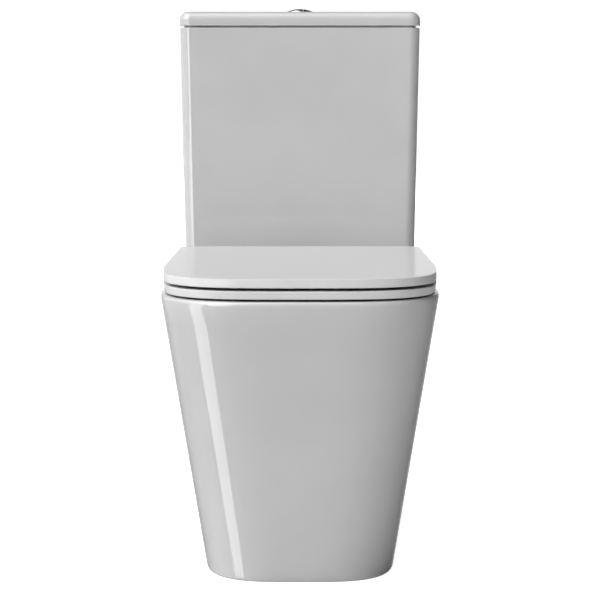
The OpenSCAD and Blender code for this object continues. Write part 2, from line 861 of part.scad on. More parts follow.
// Cups that clip over the screws' heads
module screw_cover_caps() {
    cap_inner_r = cap_r - 2;
    color(ceramic_color)
        pair()
            translate([cap_seat_x, bracket_y, side_screw_h])
                rotate([0, 90, 0])
                    rotate_extrude()
                        polygon([
                            [cap_inner_r, 0], [cap_r, 0], [cap_r, cap_t - 1.2], [cap_r - 1.5, cap_t],
                            [0, cap_t + 0.5], [0, screw_head_t + 0.2], [cap_inner_r, screw_head_t + 0.2]
                        ]);
}

// ---- Cistern ----

function cistern_half_w(z) = mix(cistern_foot_w, cistern_top_w, (z - cistern_z) / cistern_h) / 2;
function cistern_d(z) = mix(cistern_foot_d, cistern_top_d, (z - cistern_z) / cistern_h);

// The cistern's outline at height z, drawn in by inset
function cistern_ring(z, inset) =
    rounded_ring(
        cistern_half_w(z) - inset,
        cistern_back_y - cistern_d(z) + inset,
        cistern_back_y - inset,
        max(cistern_corner_r - inset, 3),
        z
    );

module cistern_body() {
    color(ceramic_color)
        difference() {
            loft([
                for (a = [90, 60, 30, 0])
                    cistern_ring(cistern_z + cistern_foot_round * (1 - sin(a)),
                        cistern_foot_round * (1 - cos(a))),
                for (a = [0, 45, 90])
                    cistern_ring(cistern_top_z - cistern_edge_round * (1 - sin(a)),
                        cistern_edge_round * (1 - cos(a))),
                cistern_ring(cistern_top_z, cistern_t - cistern_edge_round / 2),
                cistern_ring(cistern_top_z - cistern_edge_round / 2, cistern_t),
                cistern_ring(cistern_floor_z + 8, cistern_t),
                cistern_ring(cistern_floor_z + 2, cistern_t + 2.5),
                cistern_ring(cistern_floor_z, cistern_t + 8)
            ]);
            translate([0, flush_y, cistern_z - through])
                cylinder(r = tail_r + tail_gap, h = cistern_floor_t + 2 * through);
            translate([-fill_x, fill_y, cistern_z - through])
                cylinder(r = shank_r + tail_gap, h = cistern_floor_t + 2 * through);
            pair()
                translate([coupling_spacing / 2, flush_y, cistern_z - through])
                    cylinder(r = coupling_bolt_r + ceramic_gap, h = cistern_floor_t + 2 * through);
        }
}

module coupling_gasket() {
    color(rubber_color)
        tube(gasket_r, gasket_hole_r, 0, flush_y, rim_h - gasket_seat_d, gasket_seat_d + cistern_deck_gap);
}

module coupling_bolts() {
    bolt_head_z = cistern_floor_z + bolt_washer_t;
    color(steel_color)
        pair()
            translate([coupling_spacing / 2, flush_y, 0]) {
                translate([0, 0, cavity_top - coupling_bolt_free])
                    cylinder(r = coupling_bolt_r, h = bolt_head_z - cavity_top + coupling_bolt_free);
                translate([0, 0, bolt_head_z])
                    cylinder(r = coupling_bolt_r * 2.2, h = bolt_head_t);
            }
}

module bolt_rubber_washers() {
    color(rubber_color)
        pair()
            tube(bolt_washer_r, coupling_bolt_r + bolt_fit, coupling_spacing / 2, flush_y,
                cistern_floor_z, bolt_washer_t);
}

module bolt_steel_washers() {
    color(steel_color)
        pair()
            tube(bolt_washer_r, coupling_bolt_r + bolt_fit, coupling_spacing / 2, flush_y,
                cavity_top - bolt_washer_t, bolt_washer_t);
}

// A wing nut hung under z on a bolt of the given radius
module wing_nut(bolt_r, z) {
    wing_drop = wing_hub_h * 0.4;
    translate([0, 0, z - wing_hub_h])
        difference() {
            union() {
                cylinder(r = wing_hub_r, h = wing_hub_h);
                translate([0, wing_t / 2, 0])
                    rotate([90, 0, 0])
                        linear_extrude(wing_t)
                            polygon([
                                [-wing_hub_r + 1, wing_hub_h * 0.7], [-wing_reach + 3, wing_hub_h * 0.5],
                                [-wing_reach, -wing_drop], [-wing_reach + 7, -wing_drop],
                                [-wing_hub_r + 1, 1],
                                [wing_hub_r - 1, 1], [wing_reach - 7, -wing_drop], [wing_reach, -wing_drop],
                                [wing_reach - 3, wing_hub_h * 0.5], [wing_hub_r - 1, wing_hub_h * 0.7]
                            ]);
            }
            translate([0, 0, -wing_hub_h])
                cylinder(r = bolt_r + bolt_fit, h = 3 * wing_hub_h);
        }
}

module coupling_wing_nuts() {
    color(plastic_color)
        pair()
            translate([coupling_spacing / 2, flush_y, 0])
                wing_nut(coupling_bolt_r, cavity_top - bolt_washer_t);
}

// ---- Cistern lid ----

// The lid's outline at height z, drawn in by inset from the body's top edge
function lid_ring(z, inset) =
    rounded_ring(
        cistern_top_w / 2 - inset,
        cistern_back_y - cistern_top_d + inset,
        cistern_back_y - max(inset, 0),
        max(cistern_corner_r - inset, 2.5),
        z
    );

module cistern_lid() {
    lip_inset = cistern_t + lip_gap;
    color(ceramic_color)
        difference() {
            loft([
                lid_ring(lid_under_z, lip_inset + lip_t + 3),
                lid_ring(lid_under_z - 3, lip_inset + lip_t),
                lid_ring(cistern_top_z - lip_h, lip_inset + lip_t),
                lid_ring(cistern_top_z - lip_h, lip_inset + 1),
                lid_ring(cistern_top_z - lip_h + 1, lip_inset),
                lid_ring(cistern_top_z, lip_inset),
                lid_ring(cistern_top_z, shadow_gap_d),
                lid_ring(cistern_top_z + shadow_gap_h, shadow_gap_d),
                for (a = [90, 45, 0])
                    lid_ring(cistern_top_z + shadow_gap_h + cistern_edge_round * (1 - sin(a)),
                        cistern_edge_round * (1 - cos(a)) - lid_overhang),
                for (a = [0 : 15 : 90])
                    lid_ring(lid_top_z - lid_edge_round * (1 - sin(a)),
                        lid_edge_round * (1 - cos(a)) - lid_overhang)
            ]);
            translate([0, flush_y, lid_under_z - through])
                cylinder(r = sleeve_r + lid_hole_gap, h = lid_plate_t + 2 * through);
        }
}

// ---- Push button ----

module button_bezel() {
    color(chrome_color)
        translate([0, flush_y, 0])
            difference() {
                rotate_extrude()
                    polygon([
                        [0, sleeve_end_z], [sleeve_r, sleeve_end_z], [sleeve_r, lid_top_z],
                        [bezel_r, lid_top_z], [bezel_r, lid_top_z + 0.8],
                        [bezel_r - 2.5, lid_top_z + bezel_t * 0.8],
                        [sleeve_bore_r + 1.5, lid_top_z + bezel_t],
                        [sleeve_bore_r, lid_top_z + bezel_t - 0.8],
                        [sleeve_bore_r, sleeve_end_z + sleeve_floor_t],
                        [0, sleeve_end_z + sleeve_floor_t]
                    ]);
                for (x = [full_rod_x, half_rod_x])
                    translate([x, 0, sleeve_end_z - through])
                        cylinder(r = rod_r + rod_gap, h = sleeve_floor_t + 2 * through);
            }
}

module button_collar_nut() {
    color(plastic_color)
        difference() {
            tube(collar_r, sleeve_r + thread_fit, 0, flush_y, lid_under_z - collar_t, collar_t);
            for (a = [0 : 60 : 359])
                translate([0, flush_y, lid_under_z - collar_t - through])
                    rotate([0, 0, a])
                        translate([collar_r, 0, 0])
                            cylinder(r = nut_groove_r, h = collar_t + 2 * through);
        }
}

// Both buttons before they are parted: a disc with a domed top
module button_dome() {
    intersection() {
        translate([0, flush_y, button_foot_z])
            cylinder(r = button_r, h = button_h + through);
        translate([0, flush_y, crown_z - dome_r])
            sphere(r = dome_r);
    }
}

// The dome without the part that starts at cut_x, bored for its rod
module button_share(cut_x, rod_x) {
    difference() {
        button_dome();
        translate([cut_x, flush_y - 2 * button_r, button_foot_z - through])
            cube([2 * button_r, 4 * button_r, button_h + 3 * through]);
        translate([rod_x, flush_y, button_foot_z - through])
            cylinder(r = rod_r + press_fit, h = rod_seat_d + through);
    }
}

module full_flush_button() {
    color(chrome_color)
        button_share(button_split - button_gap / 2, full_rod_x);
}

module half_flush_button() {
    color(chrome_color)
        button_share(button_split + button_gap / 2 - 2 * button_r, half_rod_x);
}

// A push rod from its button down into the valve's head
module push_rod(x) {
    translate([x, flush_y, rod_end_z])
        cylinder(r = rod_r, h = button_foot_z + rod_seat_d - rod_end_z);
}

module full_flush_rod() {
    color(plastic_color)
        push_rod(full_rod_x);
}

module half_flush_rod() {
    color(plastic_color)
        push_rod(half_rod_x);
}

// ---- Flush valve ----

module flush_valve_base() {
    color(plastic_color)
        difference() {
            translate([0, flush_y, 0])
                rotate_extrude()
                    polygon([
                        [tail_r - tail_t, cistern_z - tail_l], [tail_r, cistern_z - tail_l],
                        [tail_r, valve_flange_z], [flange_r, valve_flange_z],
                        [flange_r, leg_top_z], [flange_r - leg_t, leg_top_z],
                        [flange_r - leg_t, valve_flange_z + flange_t],
                        [tail_r + 2, valve_flange_z + flange_t],
                        [tail_r, valve_seat_z], [tail_r - tail_t, valve_seat_z]
                    ]);
            // Openings that let the water in under the canister
            for (a = [0, 90])
                translate([0, flush_y, valve_flange_z + flange_t])
                    rotate([0, 0, a])
                        translate([-leg_gap_w / 2, -flange_r - through, 0])
                            cube([leg_gap_w, 2 * (flange_r + through), leg_h - tower_ring_h]);
        }
}

module flush_valve_seal() {
    color(rubber_color)
        tube(flange_r, tail_r + bolt_fit, 0, flush_y, cistern_floor_z, washer_t);
}

module flush_valve_back_nut() {
    color(plastic_color)
        difference() {
            tube(back_nut_r, tail_r + thread_fit, 0, flush_y, cistern_z - back_nut_t, back_nut_t);
            for (a = [0 : 45 : 359])
                translate([0, flush_y, cistern_z - back_nut_t - through])
                    rotate([0, 0, a])
                        translate([back_nut_r, 0, 0])
                            cylinder(r = nut_groove_r, h = back_nut_t + 2 * through);
        }
}

// Ring on the base's legs, two columns and a top ring under the head
module flush_valve_tower() {
    color(blue_color) {
        difference() {
            union() {
                translate([0, flush_y, leg_top_z])
                    cylinder(r = flange_r, h = tower_ring_h);
                for (side = [-1, 1])
                    translate([side * column_x - column_t / 2, flush_y - column_w / 2, leg_top_z])
                        cube([column_t, column_w, head_z - leg_top_z]);
                translate([0, flush_y, head_z - tower_ring_h])
                    cylinder(r = flange_r, h = tower_ring_h);
            }
            translate([0, flush_y, leg_top_z - through])
                cylinder(r = flange_r - column_t - 1, h = head_z - leg_top_z + 2 * through);
        }
    }
}

module flush_valve_head() {
    color(blue_color)
        difference() {
            union() {
                translate([0, flush_y, head_z])
                    cylinder(r = flange_r, h = head_h * 0.6);
                translate([-flange_r * 0.7, flush_y - flange_r * 0.5, head_z])
                    cube([flange_r * 1.4, flange_r, head_h]);
            }
            for (x = [full_rod_x, half_rod_x])
                translate([x, flush_y, head_top_z - 2 - rod_socket_d])
                    cylinder(r = rod_r + rod_gap, h = rod_socket_d + 2 + through);
        }
}

module flush_canister() {
    color(plastic_color)
        translate([0, flush_y, 0])
            rotate_extrude()
                polygon([
                    [canister_r - canister_t, canister_z], [canister_disc_r, canister_z],
                    [canister_disc_r, canister_z + canister_disc_t],
                    [canister_r + 3, canister_z + canister_disc_t + 2],
                    [canister_r, canister_z + canister_disc_t + 10], [canister_r, overflow_z - 8],
                    [canister_r + 2, overflow_z - 4], [canister_r + 2, overflow_z], [canister_r, overflow_z],
                    [canister_r - canister_t, overflow_z - 6]
                ]);
}

module canister_seal() {
    color(rubber_color)
        tube(canister_disc_r - 1, canister_r - canister_t, 0, flush_y, valve_seat_z, seal_t);
}

module half_flush_float() {
    color(blue_color)
        tube(half_float_r, canister_r + press_fit, 0, flush_y, (leg_top_z + overflow_z) / 2, half_float_h);
}

// ---- Fill valve ----

module fill_valve_shank() {
    color(plastic_color)
        translate([-fill_x, fill_y, 0])
            rotate_extrude()
                polygon([
                    [shank_bore_r, cistern_z - shank_l], [shank_r, cistern_z - shank_l],
                    [shank_r, relief_z - relief_w], [shank_r - relief_d, relief_z - relief_w],
                    [shank_r - relief_d, relief_z], [shank_r, relief_z],
                    [shank_r, shank_flange_z], [shank_flange_r, shank_flange_z],
                    [shank_flange_r, shank_flange_z + flange_t], [riser_r, shank_flange_z + flange_t + 3],
                    [riser_r, riser_top_z], [shank_bore_r, riser_top_z]
                ]);
}

module fill_valve_washer() {
    color(rubber_color)
        tube(shank_flange_r, shank_r + bolt_fit, -fill_x, fill_y, cistern_floor_z, washer_t);
}

module fill_valve_back_nut() {
    color(plastic_color)
        difference() {
            translate([-fill_x, fill_y, cistern_z - fill_nut_t])
                cylinder(r = fill_nut_r, h = fill_nut_t, $fn = 6);
            translate([-fill_x, fill_y, cistern_z - fill_nut_t - through])
                cylinder(r = shank_r + thread_fit, h = fill_nut_t + 2 * through);
        }
}

// Capped head with the two cheeks that carry the arm
module fill_valve_head() {
    cap_z = riser_top_z + fill_head_h * 0.6;
    color(plastic_color)
        difference() {
            translate([-fill_x, fill_y, 0])
                union() {
                    translate([0, 0, riser_top_z])
                        cylinder(r = fill_head_r, h = fill_head_h * 0.6);
                    translate([0, 0, cap_z])
                        cylinder(r1 = fill_head_r - 2, r2 = fill_head_r - 6, h = 3);
                    for (side = [-1, 1])
                        translate([-cheek_w / 2, side * cheek_y - cheek_t / 2, cap_z - cheek_t])
                            cube([cheek_w, cheek_t, arm_z + cheek_w / 2 - cap_z + cheek_t]);
                }
            translate([-fill_x, fill_y - fill_head_r, arm_z])
                rotate([-90, 0, 0])
                    cylinder(r = arm_pin_r + pin_fit, h = 2 * fill_head_r);
        }
}

// Cup that is open at the top, with a lug for the rod
module fill_float() {
    rod_x = arm_l * cos(arm_rest_angle);
    color(blue_color)
        translate([-fill_x, fill_y, float_rest_z])
            difference() {
                union() {
                    cylinder(r = float_r, h = float_h);
                    translate([rod_x, 0, float_h - float_lug_h])
                        cylinder(r = float_rod_r + 3, h = float_lug_h);
                    translate([float_r - 3, -float_rod_r - 1, float_h - float_lug_h])
                        cube([rod_x - float_r + 3, 2 * float_rod_r + 2, float_lug_h]);
                }
                translate([0, 0, float_wall_t])
                    difference() {
                        cylinder(r = float_r - float_wall_t, h = float_h);
                        translate([0, 0, -through])
                            cylinder(r = riser_r + float_gap + float_wall_t, h = float_h + 2 * through);
                    }
                translate([0, 0, -through])
                    cylinder(r = riser_r + float_gap, h = float_h + 2 * through);
                translate([rod_x, 0, -through])
                    cylinder(r = float_rod_r + press_fit, h = float_h + 2 * through);
            }
}

// Rod that runs up through the arm, with a collar that lifts it
module float_rod() {
    rod_foot_z = float_rest_z + float_h - float_lug_h;
    arm_end_z = arm_z - arm_l * sin(arm_rest_angle);
    rod_top_z = arm_end_z + arm_t + rod_stub_l;
    color(steel_color)
        translate([arm_l * cos(arm_rest_angle) - fill_x, fill_y, 0]) {
            translate([0, 0, rod_foot_z])
                cylinder(r = float_rod_r, h = rod_top_z - rod_foot_z);
            translate([0, 0, arm_end_z - arm_t / 2 - rod_collar_gap - rod_collar_t])
                cylinder(r = float_rod_r + 2.5, h = rod_collar_t);
        }
}

// Lever that turns on its own trunnions and is lifted by the rod
module fill_arm() {
    color(plastic_color)
        translate([-fill_x, fill_y, arm_z])
            rotate([0, arm_rest_angle, 0])
                difference() {
                    union() {
                        translate([0, -arm_w / 2 - arm_gap - cheek_t, 0])
                            rotate([-90, 0, 0])
                                cylinder(r = arm_pin_r, h = arm_w + 2 * (arm_gap + cheek_t));
                        translate([0, -arm_w / 2, 0])
                            rotate([-90, 0, 0])
                                cylinder(r = cheek_w / 2 - 0.5, h = arm_w);
                        translate([-arm_tail_l, -arm_w / 2, -arm_t / 2])
                            cube([arm_tail_l + arm_l, arm_w, arm_t]);
                        translate([arm_l, 0, -arm_t / 2])
                            cylinder(r = arm_w / 2, h = arm_t);
                    }
                    translate([arm_l, 0, -arm_t])
                        cylinder(r = float_rod_r + arm_hole_gap, h = 2 * arm_t);
                }
}

// ---- Seat and lid ----

// The outline shared by the seat and its lid at height z, drawn in by inset
function seat_outline(z, inset, y_back) =
    ring(
        seat_w / 2 - inset,
        seat_front_y + inset,
        seat_front_y + seat_front_l,
        y_back - inset,
        seat_square, back_square, z, seat_side_ease
    );

// The hole in the seat at height z, let out by outset
function seat_hole(z, outset) =
    let (hole_front = seat_front_y + seat_front_w)
    ring(
        seat_hole_w / 2 + outset,
        hole_front - outset,
        hole_front + seat_hole_l / 2,
        hole_front + seat_hole_l + outset,
        seat_hole_square, seat_hole_square, z
    );

// A knuckle round the hinge's axis from x to x + knuckle_w, carried by a web between the given offsets
module knuckle(x, web_y, web_z, web_d, web_h) {
    bar_x(knuckle_r, x, x + knuckle_w, hinge_y, hinge_z);
    translate([x, hinge_y + web_y, hinge_z + web_z])
        cube([knuckle_w, web_d, web_h]);
}

module seat_ring() {
    color(seat_color)
        difference() {
            union() {
                loft_loop([
                    for (a = [90, 45, 0])
                        seat_outline(seat_z + seat_edge_round * (1 - sin(a)),
                            seat_edge_round * (1 - cos(a)), seat_back_y),
                    for (a = [0, 45, 90])
                        seat_outline(seat_top_z - seat_edge_round * (1 - sin(a)),
                            seat_edge_round * (1 - cos(a)), seat_back_y),
                    seat_hole(seat_top_z, 6),
                    seat_hole(seat_top_z - 1.2, 2.2),
                    seat_hole(seat_top_z - 4, 0),
                    seat_hole(seat_z + 2, 0.4),
                    seat_hole(seat_z, 2.5)
                ]);
                pair()
                    knuckle(seat_knuckle_x, -hinge_to_seat - 2, -knuckle_r, hinge_to_seat + 2, knuckle_r);
            }
            pair()
                bar_x(pin_r + pin_fit, seat_knuckle_x + 1, bracket_x, hinge_y, hinge_z);
        }
}

module seat_bumpers() {
    color(rubber_color)
        pair()
            for (y = [seat_front_y + bumper_front, seat_back_y - bumper_back])
                translate([bumper_x, y, rim_h])
                    cylinder(r = bumper_r, h = rim_gap);
}

module seat_lid() {
    hollow_z = seat_lid_z + lid_hollow;
    lid_top = seat_lid_z + seat_lid_t;
    color(seat_color)
        difference() {
            union() {
                difference() {
                    loft([
                        seat_outline(hollow_z, lid_band + 3, lid_back_y),
                        seat_outline(hollow_z - 1, lid_band + 1, lid_back_y),
                        seat_outline(seat_lid_z, lid_band, lid_back_y),
                        for (a = [90, 45, 0])
                            seat_outline(seat_lid_z + seat_edge_round * (1 - sin(a)),
                                seat_edge_round * (1 - cos(a)), lid_back_y),
                        for (a = [0 : 30 : 90])
                            seat_outline(lid_top - seat_lid_round * (1 - sin(a)),
                                seat_lid_round * (1 - cos(a)), lid_back_y)
                    ]);
                    // Relief round the seat's knuckle and the bracket
                    pair()
                        bar_x(knuckle_r + knuckle_gap, seat_knuckle_x - knuckle_side_gap, lid_knuckle_x + 1,
                            hinge_y, hinge_z);
                }
                pair()
                    knuckle(lid_knuckle_x, -knuckle_r, 0, 2 * knuckle_r, hollow_z + 1 - hinge_z);
            }
            pair()
                bar_x(pin_r + pin_fit, bracket_x, lid_knuckle_x + knuckle_w - 1, hinge_y, hinge_z);
        }
}

module lid_bumpers() {
    color(rubber_color)
        pair()
            for (y = [seat_front_y + bumper_front - 30, seat_back_y - bumper_back - 30])
                translate([bumper_x, y, seat_top_z])
                    cylinder(r = bumper_r - 1, h = lid_gap + lid_hollow);
}

// ---- Seat hinge ----

module hinge_brackets() {
    color(chrome_color)
        pair()
            difference() {
                union() {
                    translate([bracket_x, hinge_y, rim_h])
                        cylinder(r = bracket_foot_r, h = bracket_foot_t);
                    bar_x(knuckle_r, bracket_x - bracket_w / 2, bracket_x + bracket_w / 2, hinge_y, hinge_z);
                    translate([bracket_x - bracket_w / 2, hinge_y - knuckle_r + 1, rim_h])
                        cube([bracket_w, knuckle_r - 0.5, hinge_h]);
                }
                bar_x(pin_r + press_fit, bracket_x - bracket_w, bracket_x + bracket_w, hinge_y, hinge_z);
            }
}

module hinge_pins() {
    color(steel_color)
        pair()
            bar_x(pin_r, seat_knuckle_x + 2, lid_knuckle_x + knuckle_w - 2, hinge_y, hinge_z);
}

module hinge_bolts() {
    color(steel_color)
        pair()
            translate([bracket_x, hinge_y, rim_h - hinge_bolt_l])
                cylinder(r = hinge_bolt_r, h = hinge_bolt_l);
}

module hinge_washers() {
    color(rubber_color)
        pair()
            tube(bolt_washer_r, hinge_bolt_r + bolt_fit, bracket_x, hinge_y,
                cavity_top - bolt_washer_t, bolt_washer_t);
}

module hinge_wing_nuts() {
    color(plastic_color)
        pair()
            translate([bracket_x, hinge_y, 0])
                wing_nut(hinge_bolt_r, cavity_top - bolt_washer_t);
}

pan();
bowl();
trapway();
flush_inlet();
floor_brackets();
side_fixing_screws();
screw_cover_caps();
coupling_gasket();
coupling_bolts();
bolt_rubber_washers();
bolt_steel_washers();
coupling_wing_nuts();
cistern_body();
flush_valve_base();
flush_valve_seal();
flush_valve_back_nut();
flush_valve_tower();
flush_valve_head();
flush_canister();
canister_seal();
half_flush_float();
fill_valve_shank();
fill_valve_washer();
fill_valve_back_nut();
fill_valve_head();
fill_float();
float_rod();
fill_arm();
cistern_lid();
button_bezel();
button_collar_nut();
full_flush_button();
half_flush_button();
full_flush_rod();
half_flush_rod();
seat_ring();
seat_bumpers();
seat_lid();
lid_bumpers();
hinge_brackets();
hinge_pins();
hinge_bolts();
hinge_washers();
hinge_wing_nuts();
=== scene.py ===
# %% [markdown]
# A close coupled toilet is a glazed ceramic pan with a ceramic cistern standing on its deck.
# A thin plastic seat and lid hinge on two chrome brackets, and a chrome push button sits in the
# cistern's lid. The solids of the model are loaded first as a fixed frame. Everything made below
# is fitted to them, so that it keeps their size and moves with their bodies.

# %% Load the frame
import json
import math
import bpy
import bmesh
from mathutils import Matrix, Vector


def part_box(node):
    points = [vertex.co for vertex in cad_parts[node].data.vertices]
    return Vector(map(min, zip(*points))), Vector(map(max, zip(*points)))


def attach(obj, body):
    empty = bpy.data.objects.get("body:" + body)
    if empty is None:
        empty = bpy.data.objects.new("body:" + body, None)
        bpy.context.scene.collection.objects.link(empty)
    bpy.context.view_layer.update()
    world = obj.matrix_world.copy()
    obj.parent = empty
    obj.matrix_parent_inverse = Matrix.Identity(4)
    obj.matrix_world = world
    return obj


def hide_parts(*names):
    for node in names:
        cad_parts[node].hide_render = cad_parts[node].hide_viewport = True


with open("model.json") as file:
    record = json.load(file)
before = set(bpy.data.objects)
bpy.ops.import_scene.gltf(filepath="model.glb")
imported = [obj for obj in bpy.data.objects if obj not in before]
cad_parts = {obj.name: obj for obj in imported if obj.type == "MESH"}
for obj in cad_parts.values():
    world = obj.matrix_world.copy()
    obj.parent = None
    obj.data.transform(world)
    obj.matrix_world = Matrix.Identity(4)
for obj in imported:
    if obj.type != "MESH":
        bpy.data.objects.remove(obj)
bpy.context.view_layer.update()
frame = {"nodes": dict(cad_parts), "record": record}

# %% [markdown]
# All sizes below are in millimetres, as on a drawing, and every mesh is shrunk to metres when it is
# finished. The levels come from the boxes of the solids, so a piece always lands where its solid is.

# %% Levels and lines taken from the solids
MM = 0.001


def edges_of(node):
    low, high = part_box(node)
    return [v / MM for v in low], [v / MM for v in high]


pan_low, pan_high = edges_of("pan")
FRONT_Y, WALL_Y = pan_low[1], pan_high[1]
RIM_HALF, RIM_Z = pan_high[0], pan_high[2]
tank_low, tank_high = edges_of("cistern_body")
cover_low, cover_high = edges_of("cistern_lid")
lid_low, lid_high = edges_of("seat_lid")
pins_low, pins_high = edges_of("hinge_pins")
HINGE_Y = (pins_low[1] + pins_high[1]) / 2
HINGE_Z = (pins_low[2] + pins_high[2]) / 2
bezel_low, bezel_high = edges_of("button_bezel")
FLUSH_Y = (bezel_low[1] + bezel_high[1]) / 2
print("rim at", round(RIM_Z, 1), "hinge axis at", round(HINGE_Y, 1), round(HINGE_Z, 1))

# %% [markdown]
# Every finished piece goes through one small function. It merges doubles, turns the faces outwards,
# shades the mesh smoothly, gives it its finish and lets it ride on a body.
# Doing this once in one place keeps the later cells short.

# %% Turn a bmesh into a finished piece
MERGE_DIST = 0.0005
SHARP_ANGLE = 40


def mesh_from(bm, name):
    mesh = bpy.data.meshes.new(name)
    bm.to_mesh(mesh)
    bm.free()
    return mesh


def metre_mesh(bm, name):
    bmesh.ops.recalc_face_normals(bm, faces=bm.faces)
    bmesh.ops.scale(bm, vec=(MM, MM, MM), verts=bm.verts)
    return mesh_from(bm, name)


def add_to_scene(name, data):
    added = bpy.data.objects.new(name, data)
    bpy.context.scene.collection.objects.link(added)
    return added


def finish_piece(bm, name, body, finish, replaced, sharp=SHARP_ANGLE):
    bmesh.ops.remove_doubles(bm, verts=bm.verts, dist=MERGE_DIST)
    mesh = metre_mesh(bm, name)
    mesh.shade_smooth()
    mesh.set_sharp_from_angle(angle=math.radians(sharp))
    piece = add_to_scene(name, mesh)
    mesh.materials.append(finish)
    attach(piece, body)
    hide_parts(*replaced)
    print(name, len(mesh.polygons), "faces")
    return piece


# %% [markdown]
# The glaze on sanitary ware is a clear glass layer over a white body. It is very glossy, slightly
# uneven like the surface of still water, and pools a little. A principled shader with a clear coat
# gives the two layers, and two faint noises give the unevenness. A strong bump would look like
# orange peel, so it is kept tiny.

# %% Finishes: helpers for procedural materials
def new_finish(name, colour, **sockets):
    finish = bpy.data.materials.new(name)
    finish.use_nodes = True
    shader = finish.node_tree.nodes["Principled BSDF"]
    shader.inputs["Base Color"].default_value = (*colour, 1)
    for socket, value in sockets.items():
        shader.inputs[socket.replace("_", " ")].default_value = value
    return finish


def add_noise(finish, scale, detail=3.0, stretch=(1, 1, 1)):
    nodes, links = finish.node_tree.nodes, finish.node_tree.links
    place = nodes.new("ShaderNodeTexCoord")
    turn = nodes.new("ShaderNodeMapping")
    turn.inputs["Scale"].default_value = stretch
    noise = nodes.new("ShaderNodeTexNoise")
    noise.inputs["Scale"].default_value = scale
    noise.inputs["Detail"].default_value = detail
    links.new(place.outputs["Object"], turn.inputs["Vector"])
    links.new(turn.outputs["Vector"], noise.inputs["Vector"])
    return noise


def vary_colour(finish, noise, dark, light):
    nodes, links = finish.node_tree.nodes, finish.node_tree.links
    ramp = nodes.new("ShaderNodeValToRGB")
    for stop, position, colour in zip(ramp.color_ramp.elements, (0.35, 0.65), (dark, light)):
        stop.position = position
        stop.color = (*colour, 1)
    links.new(noise.outputs["Fac"], ramp.inputs["Fac"])
    links.new(ramp.outputs["Color"], nodes["Principled BSDF"].inputs["Base Color"])


def vary_roughness(finish, noise, low, high):
    nodes, links = finish.node_tree.nodes, finish.node_tree.links
    spread = nodes.new("ShaderNodeMapRange")
    spread.inputs["To Min"].default_value = low
    spread.inputs["To Max"].default_value = high
    links.new(noise.outputs["Fac"], spread.inputs["Value"])
    links.new(spread.outputs["Result"], nodes["Principled BSDF"].inputs["Roughness"])


def add_bump(finish, noise, strength, height):
    nodes, links = finish.node_tree.nodes, finish.node_tree.links
    bump = nodes.new("ShaderNodeBump")
    bump.inputs["Strength"].default_value = strength
    bump.inputs["Distance"].default_value = height
    links.new(noise.outputs["Fac"], bump.inputs["Height"])
    links.new(bump.outputs["Normal"], nodes["Principled BSDF"].inputs["Normal"])


# %% Finishes: glaze, seat plastic and chrome
glaze = new_finish("white_glaze", (0.62, 0.62, 0.62),
                   Roughness=0.06, Coat_Weight=0.8, Coat_Roughness=0.01)
glaze_cloud = add_noise(glaze, 9.0)
vary_colour(glaze, glaze_cloud, (0.605, 0.605, 0.607), (0.63, 0.63, 0.63))
vary_roughness(glaze, glaze_cloud, 0.045, 0.07)
add_bump(glaze, add_noise(glaze, 14.0, detail=1.0), 0.05, 0.0006)

seat_gloss = new_finish("moulded_seat_gloss", (0.685, 0.685, 0.685), Roughness=0.33,
                        Specular_IOR_Level=0.2, Coat_Weight=0.3, Coat_Roughness=0.08)
seat_grain = add_noise(seat_gloss, 60.0)
vary_colour(seat_gloss, seat_grain, (0.68, 0.68, 0.68), (0.695, 0.695, 0.693))
vary_roughness(seat_gloss, seat_grain, 0.30, 0.36)
add_bump(seat_gloss, add_noise(seat_gloss, 700.0, detail=1.0), 0.03, 0.00005)

chrome = new_finish("polished_chrome", (0.78, 0.79, 0.80), Metallic=1.0, Roughness=0.06)
chrome_haze = add_noise(chrome, 120.0)
vary_colour(chrome, chrome_haze, (0.75, 0.76, 0.77), (0.80, 0.81, 0.82))
vary_roughness(chrome, chrome_haze, 0.04, 0.09)
print("finishes seen from outside:", glaze.name, seat_gloss.name, chrome.name)

# %% [markdown]
# The fixings and the works inside the cistern are plainer. Plated steel keeps the fine streaks of
# its drawing, so its noise is stretched along one axis. The plastics have the fine grain of their
# mould as colour and bump, and the rubber has a dull bloom.

# %% Finishes: fixings and the works inside the cistern
zinc = new_finish("bright_zinc_steel", (0.62, 0.63, 0.65), Metallic=1.0, Roughness=0.3)
zinc_streak = add_noise(zinc, 300.0, stretch=(1, 1, 0.1))
vary_colour(zinc, zinc_streak, (0.56, 0.57, 0.58), (0.68, 0.69, 0.71))
vary_roughness(zinc, zinc_streak, 0.22, 0.4)

white_plastic = new_finish("moulded_white_plastic", (0.72, 0.73, 0.73), Roughness=0.42)
white_grain = add_noise(white_plastic, 220.0)
vary_colour(white_plastic, white_grain, (0.70, 0.71, 0.71), (0.75, 0.76, 0.76))
add_bump(white_plastic, add_noise(white_plastic, 900.0), 0.15, 0.0001)

blue_plastic = new_finish("moulded_blue_plastic", (0.16, 0.28, 0.48), Roughness=0.4)
blue_grain = add_noise(blue_plastic, 220.0)
vary_colour(blue_plastic, blue_grain, (0.14, 0.26, 0.45), (0.18, 0.31, 0.52))
add_bump(blue_plastic, add_noise(blue_plastic, 900.0), 0.15, 0.0001)

black_rubber = new_finish("soft_black_rubber", (0.025, 0.025, 0.027), Roughness=0.75)
rubber_bloom = add_noise(black_rubber, 160.0)
vary_colour(black_rubber, rubber_bloom, (0.018, 0.018, 0.02), (0.04, 0.04, 0.042))
add_bump(black_rubber, rubber_bloom, 0.2, 0.0002)
print("finishes mostly hidden:", zinc.name, white_plastic.name, blue_plastic.name, black_rubber.name)

# %% [markdown]
# The solids of small hidden pieces already have the right shape, so they stay and only get a finish.
# The table says which finish each slot of the record takes.

